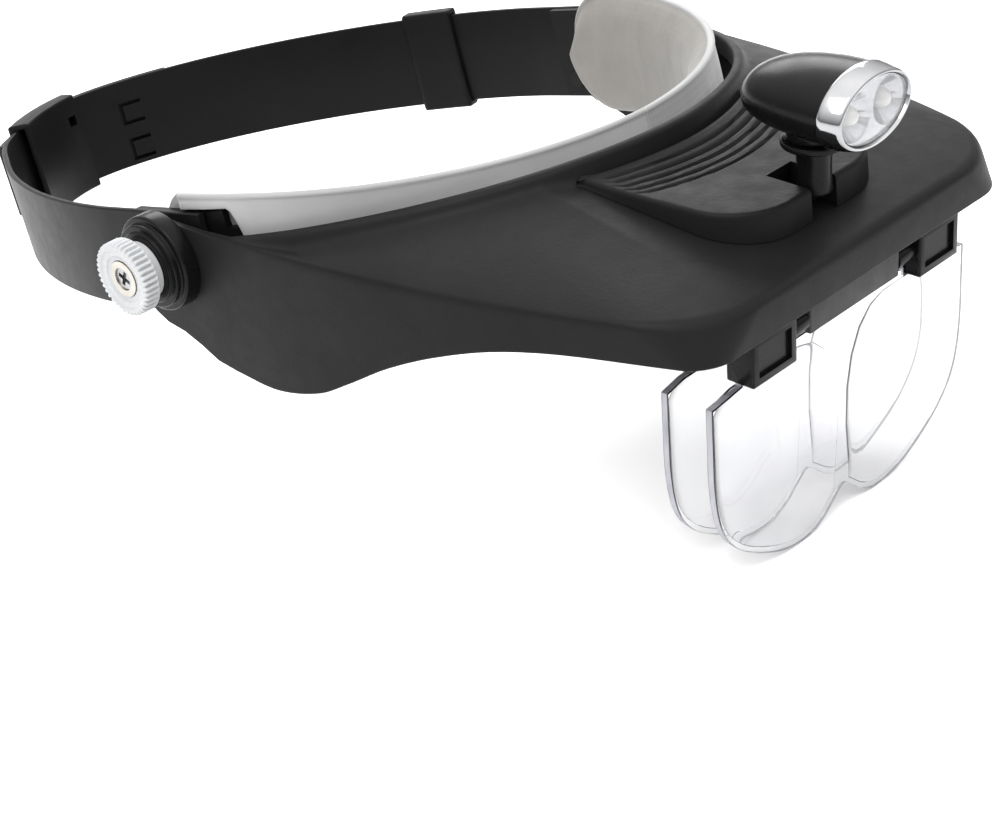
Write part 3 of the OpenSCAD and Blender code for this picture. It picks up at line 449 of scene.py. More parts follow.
def rim_angle(i):
    """Angle of the opening's edge, from straight ahead, that station i of the hood joins."""
    if i <= STATION_CORNER:
        return 26 * i / STATION_CORNER
    if i <= STATION_SIDE:
        return 26 + 12 * (i - STATION_CORNER) / (STATION_SIDE - STATION_CORNER)
    return 38 + (73.8 - 38) * (i - STATION_SIDE) / (STATION_END - STATION_SIDE)


def rim_line(t, out=0.0):
    """Inner edge of the hood's opening at an angle from straight ahead, pushed out by a distance."""
    return Vector(((RIM_HALF + out) * spow(dsin(t), 2 / RIM_POWER),
                   RIM_BACK + (RIM_REACH + out) * spow(dcos(t), 2 / RIM_POWER)))


# distance ahead and height of points on the hood's lower edge
CHEEK = [(20, -25.8), (34, -26.5), (48, -23), (58, -17.4), (70, -10), (84, -3.4), (100, 1.8),
         (118, 4.4), (148, 5)]


def low_z(ahead):
    """Height of the hood's lower edge."""
    if ahead > FRONT - 2:
        return 5.0
    i = 0
    while i < len(CHEEK) - 2 and ahead > CHEEK[i + 1][0]:
        i += 1
    a, b, c, d = CHEEK[max(0, i - 1)], CHEEK[i], CHEEK[i + 1], CHEEK[min(len(CHEEK) - 1, i + 2)]
    u = (ahead - b[0]) / (c[0] - b[0])
    m0 = (c[1] - a[1]) / (c[0] - a[0]) * (c[0] - b[0])
    m1 = (d[1] - b[1]) / (d[0] - b[0]) * (c[0] - b[0])
    return ((2 * u ** 3 - 3 * u ** 2 + 1) * b[1] + (u ** 3 - 2 * u ** 2 + u) * m0
            + (3 * u ** 2 - 2 * u ** 3) * c[1] + (u ** 3 - u ** 2) * m1)


HOOD_RADII = [0.5, 1.1, 1.1, 2.2, 25, 2.8, 0.7, 0.7, 2.4, 25, 1.2]
HOOD_STEPS = [2, 4, 4, 5, 5, 7, 3, 3, 4, 4, 3]


def hood_section(i):
    """Section at station i: over the rim, out to the edge, down, and back along the inside."""
    t = rim_angle(i)
    thick = 2.6 * min(1.0, (31 - i) / 6)
    r0, r1, r2 = rim_line(t), rim_line(t, thick), rim_line(t, thick + 1.5)
    k, b = outline(28, i), outline(11, i)
    ki, bi = k + inward(28, i) * WALL * 1.1, b + inward(11, i) * WALL
    zr = 5 + 0.27 * r0.y
    zk = min(14.9, 10.2 + 0.034 * k.y)
    zb = max(min(zr + 0.27 * (r2.y - r0.y) - 4, top_plane(r2.y)), zk - 0.2)
    crown = 0.8 * dsin(180 * ease((t - 26) / 50))
    mid, mid_in = (r2 + k) / 2, (r1 + ki) / 2
    zm = (zb + zk) / 2 + crown
    return [pt(r0.x, r0.y, zb - WALL), pt(r0.x, r0.y, zr), pt(r1.x, r1.y, zr - 0.2), pt(r2.x, r2.y, zb),
            pt(mid.x, mid.y, zm), pt(k.x, k.y, zk + 0.2), pt(b.x, b.y, low_z(b.y)),
            pt(bi.x, bi.y, low_z(b.y)), pt(ki.x, ki.y, zk - WALL - 0.3),
            pt(mid_in.x, mid_in.y, zm - WALL), pt(r1.x, r1.y, zb - WALL)]


def arm_section(f):
    """Flat arm behind the hood, with its round end about the pivot."""
    if f >= 0:
        top, low = mix(10, 10.9, f / ARM_JOIN), mix(-20, -25.8, ease(f / ARM_JOIN))
    else:
        half = math.sqrt(max(0.4, 225 - f * f))
        top, low = -5 + half, -5 - half
    thin = ARM_IN + 0.6
    inner = [pt(ARM_IN, f, top - d) for d in (1.6, 0)]
    return inner + [pt(thin, f, top), pt(thin + 0.2, f, top), pt(thin + 0.5, f, top), pt(ARM_OUT, f, top),
                    pt(ARM_OUT, f, low), pt(ARM_IN, f, low), pt(ARM_IN, f, top - 2.4),
                    pt(ARM_IN, f, top - 2.1), pt(ARM_IN, f, top - 1.8)]


def make_hood():
    half = [fillet(hood_section(i), HOOD_RADII, HOOD_STEPS) for i in spread(0, STATION_END, 150)]
    arm = [fillet(arm_section(f), [0.4] * 11, HOOD_STEPS)
           for f in [14, 8, 2, -4, -8, -11, -13, -14.2, -14.8, -15]]
    half += arm
    other = [[Vector((-v.x, v.y, v.z)) for v in r] for r in half[:0:-1]]
    hood = loft("visor_hood", other + half, "visor", "visor", "visor_plastic",
                replaces=("visor_shell",), sharp=60)
    cut(hood, [rod_cutter(-ARM_OUT - 1, -ARM_IN + 1, 8.05), rod_cutter(ARM_IN - 1, ARM_OUT + 1, 8.05)])
    return hood


make_hood()


# ---------- headband ----------
def strap_line(t):
    return Vector((STRAP_HALF * spow(dsin(t), 2 / STRAP_POWER),
                   STRAP_MID + (BAND_REAR - STRAP_MID) * spow(dcos(t), 2 / STRAP_POWER)))


def strap_at(t, out, z):
    """Point of the strap's outer face at t degrees from the back, pushed out by a distance."""
    d = strap_line(t + 0.6) - strap_line(t - 0.6)
    d.normalize()
    p = strap_line(t) + out * Vector((-d.y, d.x))
    return Vector((p.x, p.y, z))


def strap_path(t0, t1, step=1.5):
    return spread(t0, t1, int(abs(t1 - t0) / step))


def sheet_ring(at, inner, outer, low, high, r=0.45, steps=3):
    """Rounded rectangle across a strap; at(out, z) gives a point."""
    corners = [at(inner, low), at(inner, high), at(outer, high), at(outer, low)]
    return [BAND_TILT @ v for v in fillet(corners, [r] * 4, [steps] * 4)]


def make_strap(name, node, sign, last_t, shift, cutters):
    rings = []
    for y in (STRAP_NOSE, -8, 0, 8, 15):
        rings.append(sheet_ring(lambda o, z: Vector((sign * (STRAP_HALF + o), y, z)), -STRAP_WALL, 0,
                                -STRAP_BELOW, STRAP_ABOVE))
    for t in strap_path(sign * 90, last_t):
        rings.append(sheet_ring(lambda o, z: strap_at(t, o + shift(t), z), -STRAP_WALL, 0,
                                -STRAP_BELOW, STRAP_ABOVE))
    strap = loft(name, rings, "strap", "headband", "strap_plastic", replaces=(node,), sharp=60)
    holes = [rod_cutter(sign * 70, sign * 90, BOLT_R + 0.1)]
    cut(strap, holes + cutters)


def tilted_box(centre, size, turn):
    """A block set square to the strap at a point of the band."""
    spin = BAND_TILT @ Matrix.Rotation(turn, 3, "Z")
    verts = [BAND_TILT @ centre + spin @ Vector((x * size[0] / 2, y * size[1] / 2, z * size[2] / 2))
             for x in (-1, 1) for y in (-1, 1) for z in (-1, 1)]
    return cutter(verts, [(0, 1, 3, 2), (4, 6, 7, 5), (0, 4, 5, 1), (2, 3, 7, 6), (0, 2, 6, 4), (1, 5, 7, 3)])


def tab_cutters():
    """Three-sided cuts that free two press tabs in the far strap, and the buckle's hole."""
    c = strap_line(15)
    d = strap_line(15.6) - strap_line(14.4)
    turn = math.atan2(d.y, d.x) + math.pi
    along = Vector((math.cos(turn), math.sin(turn), 0))
    out = []
    for z in (0.5, -11):
        centre = Vector((c.x, c.y, z))
        out.append(tilted_box(centre + along * 2.95, (1.1, 8, 7), turn))
        out.append(tilted_box(centre + Vector((0, 0, 2.95)), (7, 8, 1.1), turn))
        out.append(tilted_box(centre - Vector((0, 0, 2.95)), (7, 8, 1.1), turn))
    return out + [hole_cutter()]


def hole_cutter():
    """Square hole through the strap and the buckle's inner wall."""
    c = strap_line(-4)
    return tilted_box(Vector((c.x, c.y - 3, 4.6)), (3, 8, 3), 0)


make_strap("near_strap", "right_strap", -1, 24, lambda t: (STRAP_WALL + 0.2) * ease((t + 46) / 16), [])
make_strap("far_strap", "left_strap", 1, -20, lambda t: 0.0, tab_cutters())


def hollow_sweep(name, node, body, path, inner, outer, low, high, wall, look, ends=0.5):
    """Sleeve round the strap: an outer skin, then back along its inside."""
    def skin(t, grow, r):
        return sheet_ring(lambda o, z: strap_at(t, o, z), inner - grow, outer + grow, low - grow,
                          high + grow, r, 4)
    step = 0.25 if path[1] > path[0] else -0.25
    rings = [skin(path[0], wall - ends, 0.6)] + [skin(path[0] + step, wall, 1.0)]
    rings += [skin(t, wall, 1.0) for t in path[1:-1]]
    rings += [skin(path[-1] - step, wall, 1.0), skin(path[-1], wall - ends, 0.6)]
    rings += [skin(t, 0, 0.3) for t in reversed(path)]
    return loft(name, rings, look, body, "strap_plastic", closed=True, replaces=(node,), sharp=50)


cut(hollow_sweep("buckle_body", "buckle_sleeve", "headband", spread(-24, -1, 24), -STRAP_WALL - 0.15,
                 STRAP_WALL + 0.35, -STRAP_BELOW - 0.15, STRAP_ABOVE + 0.15, 1.4, "strap"), [hole_cutter()])
hollow_sweep("keeper_loop", "strap_keeper", "keeper", spread(65.5, 73.5, 10), -STRAP_WALL - 0.35, 0.35,
             -STRAP_BELOW - 0.35, STRAP_ABOVE + 0.35, 1.3, "strap")


def make_buckle_plate():
    start = STRAP_WALL + 1.75
    rings = [sheet_ring(lambda o, z: strap_at(t, o, z), start + 0.6, start + 2.4, -13, 8.6, 0.7, 4)
             for t in spread(-28, -8, 20)]
    loft("buckle_outer_plate", rings, "plate", "headband", "strap_plastic",
         replaces=("buckle_plate",), sharp=60)
    post = [sheet_ring(lambda o, z: strap_at(t, o, z), start, start + 0.7, -9, 4, 0.2, 2)
            for t in spread(-21, -15, 5)]
    loft("buckle_post", post, "plate", "headband", "strap_plastic")


make_buckle_plate()


# ---------- forehead pad ----------
PAD_TAIL, COVER = 6.0, 0.9
PAD_ANGLE, PAD_TURN = 97, 90


def pad_at(u, out):
    """Point of the band line at u from -1 to 1, pushed out by a distance."""
    t = PAD_ANGLE * u
    if abs(t) <= PAD_TURN:
        return Vector(((STRAP_OUT + out) * dsin(t), -(BAND_FRONT + out) * dcos(t)))
    past = (abs(t) - PAD_TURN) / (PAD_ANGLE - PAD_TURN)
    return Vector((math.copysign(STRAP_OUT + out, t), past * PAD_TAIL))


def pad_section(u):
    """Section of the pad at u: offsets from the band and heights, with a corner radius each."""
    turn, y = abs(dsin(PAD_ANGLE * u)), pad_at(u, 0).y
    e = clamp01((y + 9) / (PAD_TAIL + 9))
    half = (14 + 3 * turn ** 2) * (1 - 0.97 * e ** 2.4) ** 0.46
    mid = -4.5 + turn + 1.8 * turn ** 6
    top, low = mid + half, mid - half
    flap = max(min(-11 + 22.2 * ease((abs(PAD_ANGLE * u) - 71) / 5), top - 2.1), low + 0.5)
    on_flap = 1 - ease((y + 6.5) / 3)
    inner = -BAND_WALL - COVER - 2.8 - 2.6 * dcos(min(PAD_TURN, abs(PAD_ANGLE * u))) ** 2
    # the cloth draws in a little every few centimetres
    pull = 0.28 * math.sin(u * 61) + 0.2 * math.sin(u * 143 + 1.7) + 0.12 * math.sin(u * 307)
    swell = 1.1 * min(1.0, half / 12)

    def over(out):
        return out * on_flap - (BAND_WALL + 0.3 - 0.15 * out) * (1 - on_flap)

    lean = min(1.0, half / 9)
    return [(over(0.1), flap, 0.3, 2), (over(0.1), top - 1.6, 0.3, 2), (over(-0.3), top - 1.4, 0.3, 2),
            (-BAND_WALL - 0.1, top - 2.6 * lean, 0.3, 2), (-BAND_WALL - 0.1, low + 0.2, 0.3, 2),
            (inner * 0.6 - 1, low - 0.1, 1.2, 3), (inner - 0.3, low + 2.2 + 0.3 * pull, 2.5, 4),
            (inner - swell - 0.2 * pull, mid, 9, 8), (inner - 0.2, top - 6.5 * lean, 5, 5),
            (mix(inner, -1, 0.72), top - 1.7 * lean, 1.5, 3), (over(-0.9), top - 0.75, 0.25, 2),
            (over(-0.75), top - 0.1, 0.5, 3), (over(0.7), top, 0.6, 3), (over(1.15), top - 0.8, 0.4, 3),
            (over(0.75), top - 1.5, 0.5, 3), (over(1.0 + 0.22 * pull), mix(top - 1.5, flap, 0.4), 5, 5),
            (over(0.95 + 0.12 * pull), flap, 0.35, 2)]


def make_pad():
    """Foam pad in its cloth, thin at its sewn top edge, whose outer flap hangs over the band."""
    rings, uvs, length, last, around = [], [], 0.0, None, []
    for i in range(-130, 131):
        v = i / 130
        u = math.copysign(1 - (1 - abs(v)) ** 1.25, v)
        section = pad_section(u)
        pts = [Vector((*pad_at(u, q[0]), q[1])) for q in section]
        ring = fillet(pts, [q[2] for q in section], [q[3] for q in section])
        ring = [BAND_TILT @ p for p in ring]
        if last is not None:
            length += (ring[0] - last).length
        last = ring[0]
        if not around or i == 0:
            walk = [0.0] + [(b - a).length for a, b in zip(ring, ring[1:])]
            around = [sum(walk[:k + 1]) for k in range(len(walk))]
        rings.append(ring)
        uvs += [(length * MM, around[j] * MM) for j in range(len(ring))]
    n = len(rings[0])
    pad = loft("forehead_pad", rings, "cloth", "headband", "pad_cloth",
               replaces=("pad_cover", "pad_foam"), uvs=uvs, sharp=75, weld=False)
    pad.data.materials.append(MAT["foam"])
    steps = [q[3] + 1 for q in pad_section(0)]
    lining = range(sum(steps[:3]), sum(steps[:10]) + 1)
    for p in pad.data.polygons[:(len(rings) - 1) * n]:
        if p.index % n in lining:
            p.material_index = 1


make_pad()


# ---------- temple knobs ----------
KNOB_TEETH = 40


def lathe(name, profile, side, look, body, slot, n=96, teeth=None, closed=True, **more):
    """Turns (x, radius) points about the tilt axis on one side. teeth(x, r, angle) changes the radius."""
    rings = []
    for x, r in profile:
        ring = []
        for k in range(n):
            a = 360 * k / n
            rr = teeth(x, r, a) if teeth else r
            ring.append(Vector((side * x, rr * dcos(a), rr * dsin(a))))
        rings.append(ring)
    return loft(name, rings, look, body, slot, closed=closed, **more)


def rounded(profile, r, steps=3):
    points = [Vector((x, y, 0)) for x, y in profile]
    radii = r if isinstance(r, list) else [r] * len(points)
    return [(v.x, v.y) for v in fillet(points, radii, [steps] * len(points))]


def knurl(x, r, a):
    """Teeth round the knob's grip."""
    depth = 0.75 * clamp01((x - KNOB_NECK_OUT - 0.1) / 0.4) * clamp01((r - 8.2) / 0.7)
    return r - depth * (0.5 - 0.5 * dcos(KNOB_TEETH * a)) ** 1.6


for side, tag in ((-1, "right"), (1, "left")):
    step = ARM_OUT + 4.6
    disc = [(ARM_IN, 2.95), (DISC_OUT, 2.95), (DISC_OUT, 9.1), (DISC_OUT - 0.8, 9.1), (DISC_OUT - 0.8, 10.7),
            (step, 10.7), (step, 12.3), (ARM_OUT, 12.3), (ARM_OUT, 8.0), (ARM_IN, 8.0)]
    lathe(tag + "_pivot_boss", rounded(disc, [0.1, 0.3, 0.7, 0.3, 0.5, 0.4, 0.8, 0.2, 0.1, 0.1], 4), side,
          "gloss", "visor", "gloss_black", replaces=(tag + "_pivot_disc",), sharp=50)
    grip = [(DISC_OUT + 0.1, 4.7), (KNOB_OUT - 0.9, 4.7), (KNOB_OUT - 0.9, 5.7), (KNOB_OUT - 0.45, 6.1),
            (KNOB_OUT - 0.45, 7.4), (KNOB_OUT, 7.9), (KNOB_OUT, 9.5), (KNOB_NECK_OUT, 9.5),
            (KNOB_NECK_OUT, 7.2), (DISC_OUT + 0.1, 7.2)]
    lathe(tag + "_knob_grip", rounded(grip, [0.1, 0.1, 0.3, 0.3, 0.3, 0.3, 0.75, 0.5, 0.2, 0.2], 4), side,
          "knob", tag + "_knob", "knob_plastic", n=12 * KNOB_TEETH, teeth=knurl,
          replaces=(tag + "_knob",), sharp=50)


# ---------- lens hinge, clips and plates ----------
HINGE_AT, HINGE_Z = 142.5, -0.5
CLIP_IN, CLIP_OUT, CLIP_FRONT = 23.6, 39.25, 146.3


def make_lens_bar():
    """Bar that carries the lens clips, with a foot up into the hood."""
    bar = boxes("hinge_bar", [(-17, 17, 140.4, 145, -3.8, 6), (-20, 20, 136, 140.6, 4.6, 13.4),
                              (-16.9, 16.9, 140.45, 144.9, 5.5, 13.4)],
                "bar", "visor", "visor_plastic", replaces=("lens_bar",))
    soften(bar, 0.45)
    cut(bar, [rod_cutter(-18, 18, 1.2, HINGE_AT, HINGE_Z, 32)])


def make_clip(side, tag):
    """Block on a barrel with a framed window in front and a slot for the lens tab below."""
    def span(a, b):
        return (side * a, side * b) if side > 0 else (side * b, side * a)
    block = boxes(tag + "_clip", [(*span(CLIP_IN, CLIP_OUT), 138.6, CLIP_FRONT, -7, 4.3)],
                  "gloss", "lens_flip", "case_plastic", replaces=(tag + "_lens_clip",))
    soften(block, 0.5)
    window = boxes("cutter", [(*span(CLIP_IN + 2, CLIP_OUT - 2), CLIP_FRONT - 0.9, CLIP_FRONT + 1, -5, 2.7)],
                   "case", None, None)
    slot = boxes("cutter", [(*span(CLIP_IN + 1.1, CLIP_OUT - 1.1), 139.85, 142.15, -9, -2)],
                 "case", None, None)
    cut(block, [window, slot, rod_cutter(side * 20, side * (CLIP_OUT - 2.4), 1.25, HINGE_AT, HINGE_Z, 32)])
    barrel = [(17.3, 1.25), (23.8, 1.25), (23.8, 2.7), (17.3, 2.7)]
    rings = [[pt(side * x, HINGE_AT + r * dcos(a), HINGE_Z + r * dsin(a)) for a in spread(0, 352, 44)]
             for x, r in rounded(barrel, 0.3)]
    loft(tag + "_clip_barrel", rings, "gloss", "lens_flip", "case_plastic", closed=True)


make_lens_bar()
make_clip(-1, "right")
make_clip(1, "left")

LENS_HALF, LENS_WALL = 48.4, 2.0
LOBE_X, LOBE_Z = 24, -32
# share of the rim's size, and height above the plate
LOBE_PROFILE = [(1.0, -0.5), (1.0, 0.1), (0.994, 0.22), (0.97, 0.32), (0.92, 0.42), (0.82, 0.52),
                (0.66, 0.6), (0.46, 0.66), (0.25, 0.69), (0.05, 0.7)]


def smooth_path(points, per=6):
    """Points along a soft curve through the given ones."""
    out = []
    n = len(points)
    for i in range(n - 1):
        a, b, c, d = points[max(0, i - 1)], points[i], points[i + 1], points[min(n - 1, i + 2)]
        for k in range(per):
            u = k / per
            out.append(0.5 * (2 * b + (c - a) * u + (2 * a - 5 * b + 4 * c - d) * u ** 2
                              + (3 * b - a - 3 * c + d) * u ** 3))
    return out + [points[-1]]


def lens_side():
    """Outer edge of a lens plate from its shoulder down to the notch between the lobes."""
    pts = [(LENS_HALF, -9.5), (LENS_HALF, -20), (48.3, -29.5), (47.2, -38), (45, -44.3), (41, -49.5),
           (36, -53.6), (30, -57), (24, -59.6), (18, -61), (12.5, -60.9), (7.5, -58.8), (3.6, -55.6),
           (1.2, -53.9), (0, -53.4)]
    return smooth_path([Vector((*p, 0)) for p in pts], 4)


def lobe_rim():
    """Edge of one lens: just inside the plate's own edge, then up past the middle and over the top."""
    side = lens_side()
    rim = []
    for a, b in zip(side, side[2:]):
        d = (b - a).normalized()
        q = (a + b) / 2 + Vector((d.y, -d.x, 0)) * 1.3
        if q.x > 2.6:
            rim.append((q.x, q.y))
    rim += [(2.6, -48), (1.6, -38), (1.8, -28), (3.4, -20), (6.6, -13.5), (11, -9.6), (16, -8.2), (30, -8),
            (40, -8.2), (45, -9.4)]
    return rim


def plate_mesh(name, back, flange, node, body):
    """Flat clear plate with a frosted edge, and a lens moulded on the back of each lobe."""
    side = lens_side()
    line = [(v.x, v.y) for v in side] + [(-v.x, v.y) for v in side[-2::-1]] + flange
    n = len(line)
    verts = [pt(x, back, z) for x, z in line] + [pt(x, back + LENS_WALL, z) for x, z in line]
    faces = [tuple(range(n)), tuple(n + j for j in range(n))]
    faces += [(j, (j + 1) % n, n + (j + 1) % n, n + j) for j in range(n)]
    plate = build(name, verts, faces, "lens", body, "lens_acrylic", replaces=(node,), sharp=30)
    soften(plate, 0.25, 2)
    rim = lobe_rim()
    for lobe_side in (-1, 1):
        rings = [[pt(lobe_side * (LOBE_X + (x - LOBE_X) * scale), back - lift, LOBE_Z + (z - LOBE_Z) * scale)
                  for x, z in rim] for scale, lift in LOBE_PROFILE]
        lobe = loft("lobe", rings, "lens", None, None)
        mod = plate.modifiers.new("join", "BOOLEAN")
        mod.operation = "UNION"
        mod.solver = "EXACT"
        mod.object = lobe
        bpy.context.view_layer.update()
        bake_modifiers(plate)
        bpy.data.objects.remove(lobe)
    plate.data.shade_smooth()
    plate.data.set_sharp_from_angle(angle=math.radians(12))
    plate.data.materials.clear()
    plate.data.materials.append(MAT["lens"])
    plate.data.materials.append(MAT["edge"])
    for p in plate.data.polygons:
        if abs(p.normal.y) < 0.2 and -0.0002 < p.center.y + (back + LENS_WALL / 2) * MM < 0.0002:
            p.material_index = 1


tab_out, tab_in = CLIP_OUT - 1.25, CLIP_IN + 1.25
plate_mesh("front_lens_plate", 140.0,
           [(-tab_out, -8.2), (-tab_out, -2.3), (-tab_in, -2.3), (-tab_in, -7.4), (-23.25, -7.4),
            (-23.25, -5), (23.25, -5), (23.25, -7.4), (tab_in, -7.4), (tab_in, -2.3), (tab_out, -2.3),
            (tab_out, -8.2)], "front_lens", "front_lens")
plate_mesh("rear_lens_plate", 127.4,
           [(-LENS_HALF + 6, -8.2), (-26, -8.2), (-26, 1.8), (26, 1.8), (26, -8.2), (LENS_HALF - 6, -8.2)],
           "rear_lens", "rear_lens")


# ---------- lamp case ----------
DECK_TOP, DECK_FRONT, DECK_REAR_HALF, DECK_FRONT_HALF = 24.6, 136.6, 30.5, 26.5
DECK_CORNER = 15.0
GROOVE_FROM, GROOVE_TO, GROOVE_FIRST, GROOVE_PITCH, GROOVE_DEPTH = 2.6, 16.9, 4.1, 2.75, 0.9


def deck_half(f):
    """Half width of the case at a distance ahead, with round front corners."""
    u = (f - 95) / (DECK_FRONT - 95)
    d = max(0.0, f - (DECK_FRONT - DECK_CORNER))
    straight = mix(DECK_REAR_HALF, DECK_FRONT_HALF, u) - DECK_CORNER
    return straight + math.sqrt(max(0.0, DECK_CORNER ** 2 - d * d))


def deck_rear(x):
    """Distance ahead at which the case begins, behind the hood's rim."""
    return RIM_BACK + RIM_REACH * (1 - (abs(x) / RIM_HALF) ** RIM_POWER) ** (1 / RIM_POWER) + 4.5


def groove(d, x):
    """Five crisp steps that follow the rim."""
    if d < GROOVE_FROM or d > GROOVE_TO:
        return 0.0
    fade = ease((27.5 - abs(x)) / 2)
    return GROOVE_DEPTH * fade * max(0.0, dcos(360 * (d - GROOVE_FIRST) / GROOVE_PITCH)) ** 2


def deck_top(x, f):
    """Height of the case's top, which swells towards the rim and carries the grooves."""
    d = f - deck_rear(x)
    return DECK_TOP + 2.4 * (1 - (x / 36) ** 2) * max(0.0, 1 - d / 15) ** 2 - groove(d, x)


def make_case():
    """Battery case: nearly upright walls round a rounded outline, a rolled edge and a grooved top."""
    n = 30
    corner_f = DECK_FRONT - DECK_CORNER
    rear_f = deck_rear(DECK_REAR_HALF)
    side = spread(rear_f, corner_f, 60)[:-1]
    side += [corner_f + DECK_CORNER * dsin(a) for a in spread(0, 86, 52)]
    grid = []
    for f in side:
        half = deck_half(f)
        u = (f - rear_f) / (side[-1] - rear_f)
        grid.append([Vector((c * half, mix(deck_rear(c * half), side[-1], u))) for c in spread(-1, 1, n)])
        for k in (0, n):
            grid[-1][k].y = f
    rows = len(grid)
    loop = ([(0, k) for k in range(n + 1)] + [(i, n) for i in range(1, rows)]
            + [(rows - 1, k) for k in range(n - 1, -1, -1)] + [(i, 0) for i in range(rows - 2, 0, -1)])
    plan = [grid[i][k] for i, k in loop]
    count = len(plan)
    inward_at = []
    for k in range(count):
        d = plan[(k + 1) % count] - plan[k - 1]
        d.normalize()
        inward_at.append(Vector((-d.y, d.x)))
    if (Vector((0, 110)) - plan[0]).dot(inward_at[0]) < 0:
        inward_at = [-v for v in inward_at]
    # how far in from the outline, and how far below the top; None is the foot
    levels = [(0.0, None), (0.4, 1.3), (0.45, 0.9), (0.6, 0.5), (0.85, 0.22), (1.2, 0.05), (1.6, 0.0)]
    rings = []
    for inset, drop in levels:
        ring = []
        for k in range(count):
            q = plan[k] + inward_at[k] * inset
            base = top_plane(q.y) + 0.2
            ring.append(pt(q.x, q.y, base if drop is None else max(base + 0.3, deck_top(q.x, q.y) - drop)))
        rings.append(ring)
    verts = [v for r in rings for v in r]
    faces = loft_faces(len(rings), count)[:-1]
    place = {key: (len(rings) - 1) * count + k for k, key in enumerate(loop)}
    for i in range(1, rows - 1):
        left, right = verts[place[(i, 0)]], verts[place[(i, n)]]
        for k in range(1, n):
            c = k / n
            x = mix(left.x, right.x, c)
            rear, front = verts[place[(0, k)]], verts[place[(rows - 1, k)]]
            g = (grid[i][k].y - grid[0][k].y) / (grid[rows - 1][k].y - grid[0][k].y)
            f = mix(-rear.y, -front.y, g)
            place[(i, k)] = len(verts)
            verts.append(pt(x, f, deck_top(x, f)))
    faces += [(place[(i, k)], place[(i, k + 1)], place[(i + 1, k + 1)], place[(i + 1, k)])
              for i in range(rows - 1) for k in range(n)]
    return build("battery_case", verts, faces, "case", "lamp_unit", "case_plastic",
                 replaces=("lamp_case",), sharp=50)


CASE = make_case()


def notch_box(x0, x1, a0, a1, z0, z1):
    return boxes("cutter", [(x0, x1, a0, a1, z0, z1)], "case", None, None)


# the exact solver turns this finely grooved solid inside out, the fast one doesn't
POST_NOTCH = (-4.6, 4.6, 123.5, 140, 10, 40)
SWITCH_SLOT = (22.7, 40, 108.3, 115.7, 21.4, 23)
cut(CASE, [notch_box(*POST_NOTCH), notch_box(*SWITCH_SLOT)], "FAST")


# ---------- lamp ----------
LAMP_HALF, LAMP_HALF_Z, LAMP_FACE, LAMP_Z, LAMP_LENGTH = 13.4, 8.5, 150.2, 45.5, 27.6
LAMP_BACK = LAMP_FACE - 6
SWIVEL_AT, FLANGE_Z = 133.5, 33.5
BRACKET_AT, BRACKET_Z = 131.5, 20.8


def oval(ahead, a, b, z, n=72):
    return [pt(a * dcos(t), ahead, z + b * dsin(t)) for t in spread(0, 360 - 360 / n, n - 1)]


def grow(u):
    """Share of the lamp's full section at u, from 0 at its tail to 1 at its rim."""
    return (1 - (1 - min(u, 1.0)) ** 2.6) ** (1 / 2.6)


def lamp_mid(u):
    """Height of the lamp's centre line, which drops a little towards the tail."""
    return LAMP_Z - 1.6 * (1 - min(u, 1.0)) ** 2


def upright(name, profile, x, ahead, look, body, slot, n=72, **more):
    """Turns (radius, z) points about an upright axis."""
    rings = [[pt(x + r * dcos(a), ahead + r * dsin(a), z) for a in spread(0, 360 - 360 / n, n - 1)]
             for r, z in profile]
    return loft(name, rings, look, body, slot, **more)


def make_lamp():
    """Oval shell with a rounded tail, its neck below and a chrome rim in front."""
    outer = [0.001, 0.004, 0.012, 0.03, 0.06, 0.1, 0.15, 0.22, 0.3, 0.4, 0.5, 0.62, 0.74, 0.86, 0.95, 1]
    inner = [1, 0.9, 0.8, 0.7, 0.6, 0.55]
    rings = [oval(LAMP_BACK - LAMP_LENGTH * (1 - u), (LAMP_HALF + 0.2) * grow(u),
                  (LAMP_HALF_Z + 0.4) * grow(u), lamp_mid(u)) for u in outer]
    rings += [oval(LAMP_BACK - LAMP_LENGTH * (1 - u), (LAMP_HALF - 1.4) * grow(u),
                   (LAMP_HALF_Z - 1.4) * grow(u), lamp_mid(u)) for u in inner]
    loft("lamp_body", rings, "gloss", "lamp_head", "gloss_black", replaces=("lamp_housing",), sharp=50)
    neck = rounded([(1.5, FLANGE_Z + 1.8), (6.2, FLANGE_Z + 1.8), (6.2, FLANGE_Z + 4.7),
                    (1.5, FLANGE_Z + 4.7)], [0.1, 0.4, 0.4, 0.1])
    upright("lamp_neck", neck, 0, SWIVEL_AT, "gloss", "lamp_head", "gloss_black", closed=True)
    band = [(0.02, 0.35, 0.45), (0.15, 0.75, 0.75), (0.6, 0.95, 0.95), (1.6, 0.9, 0.9), (3.6, 0.5, 0.5),
            (5.0, 0.15, 0.15), (5.7, -0.1, -0.1), (6.0, -0.45, -0.45), (5.95, -0.8, -0.8),
            (5.5, -1.05, -1.05), (4.8, -1.2, -1.2), (2, -1.2, -1.2), (0.1, -1.2, -1.2)]
    loft("lamp_rim", [oval(LAMP_BACK + s, LAMP_HALF + a, LAMP_HALF_Z + b, LAMP_Z, 96) for s, a, b in band],
         "chrome", "lamp_head", "bezel_chrome", closed=True, replaces=("lamp_bezel",), sharp=50)


LED_X, CUP_R, CUP_DEPTH = 6.0, 5.5, 3.3


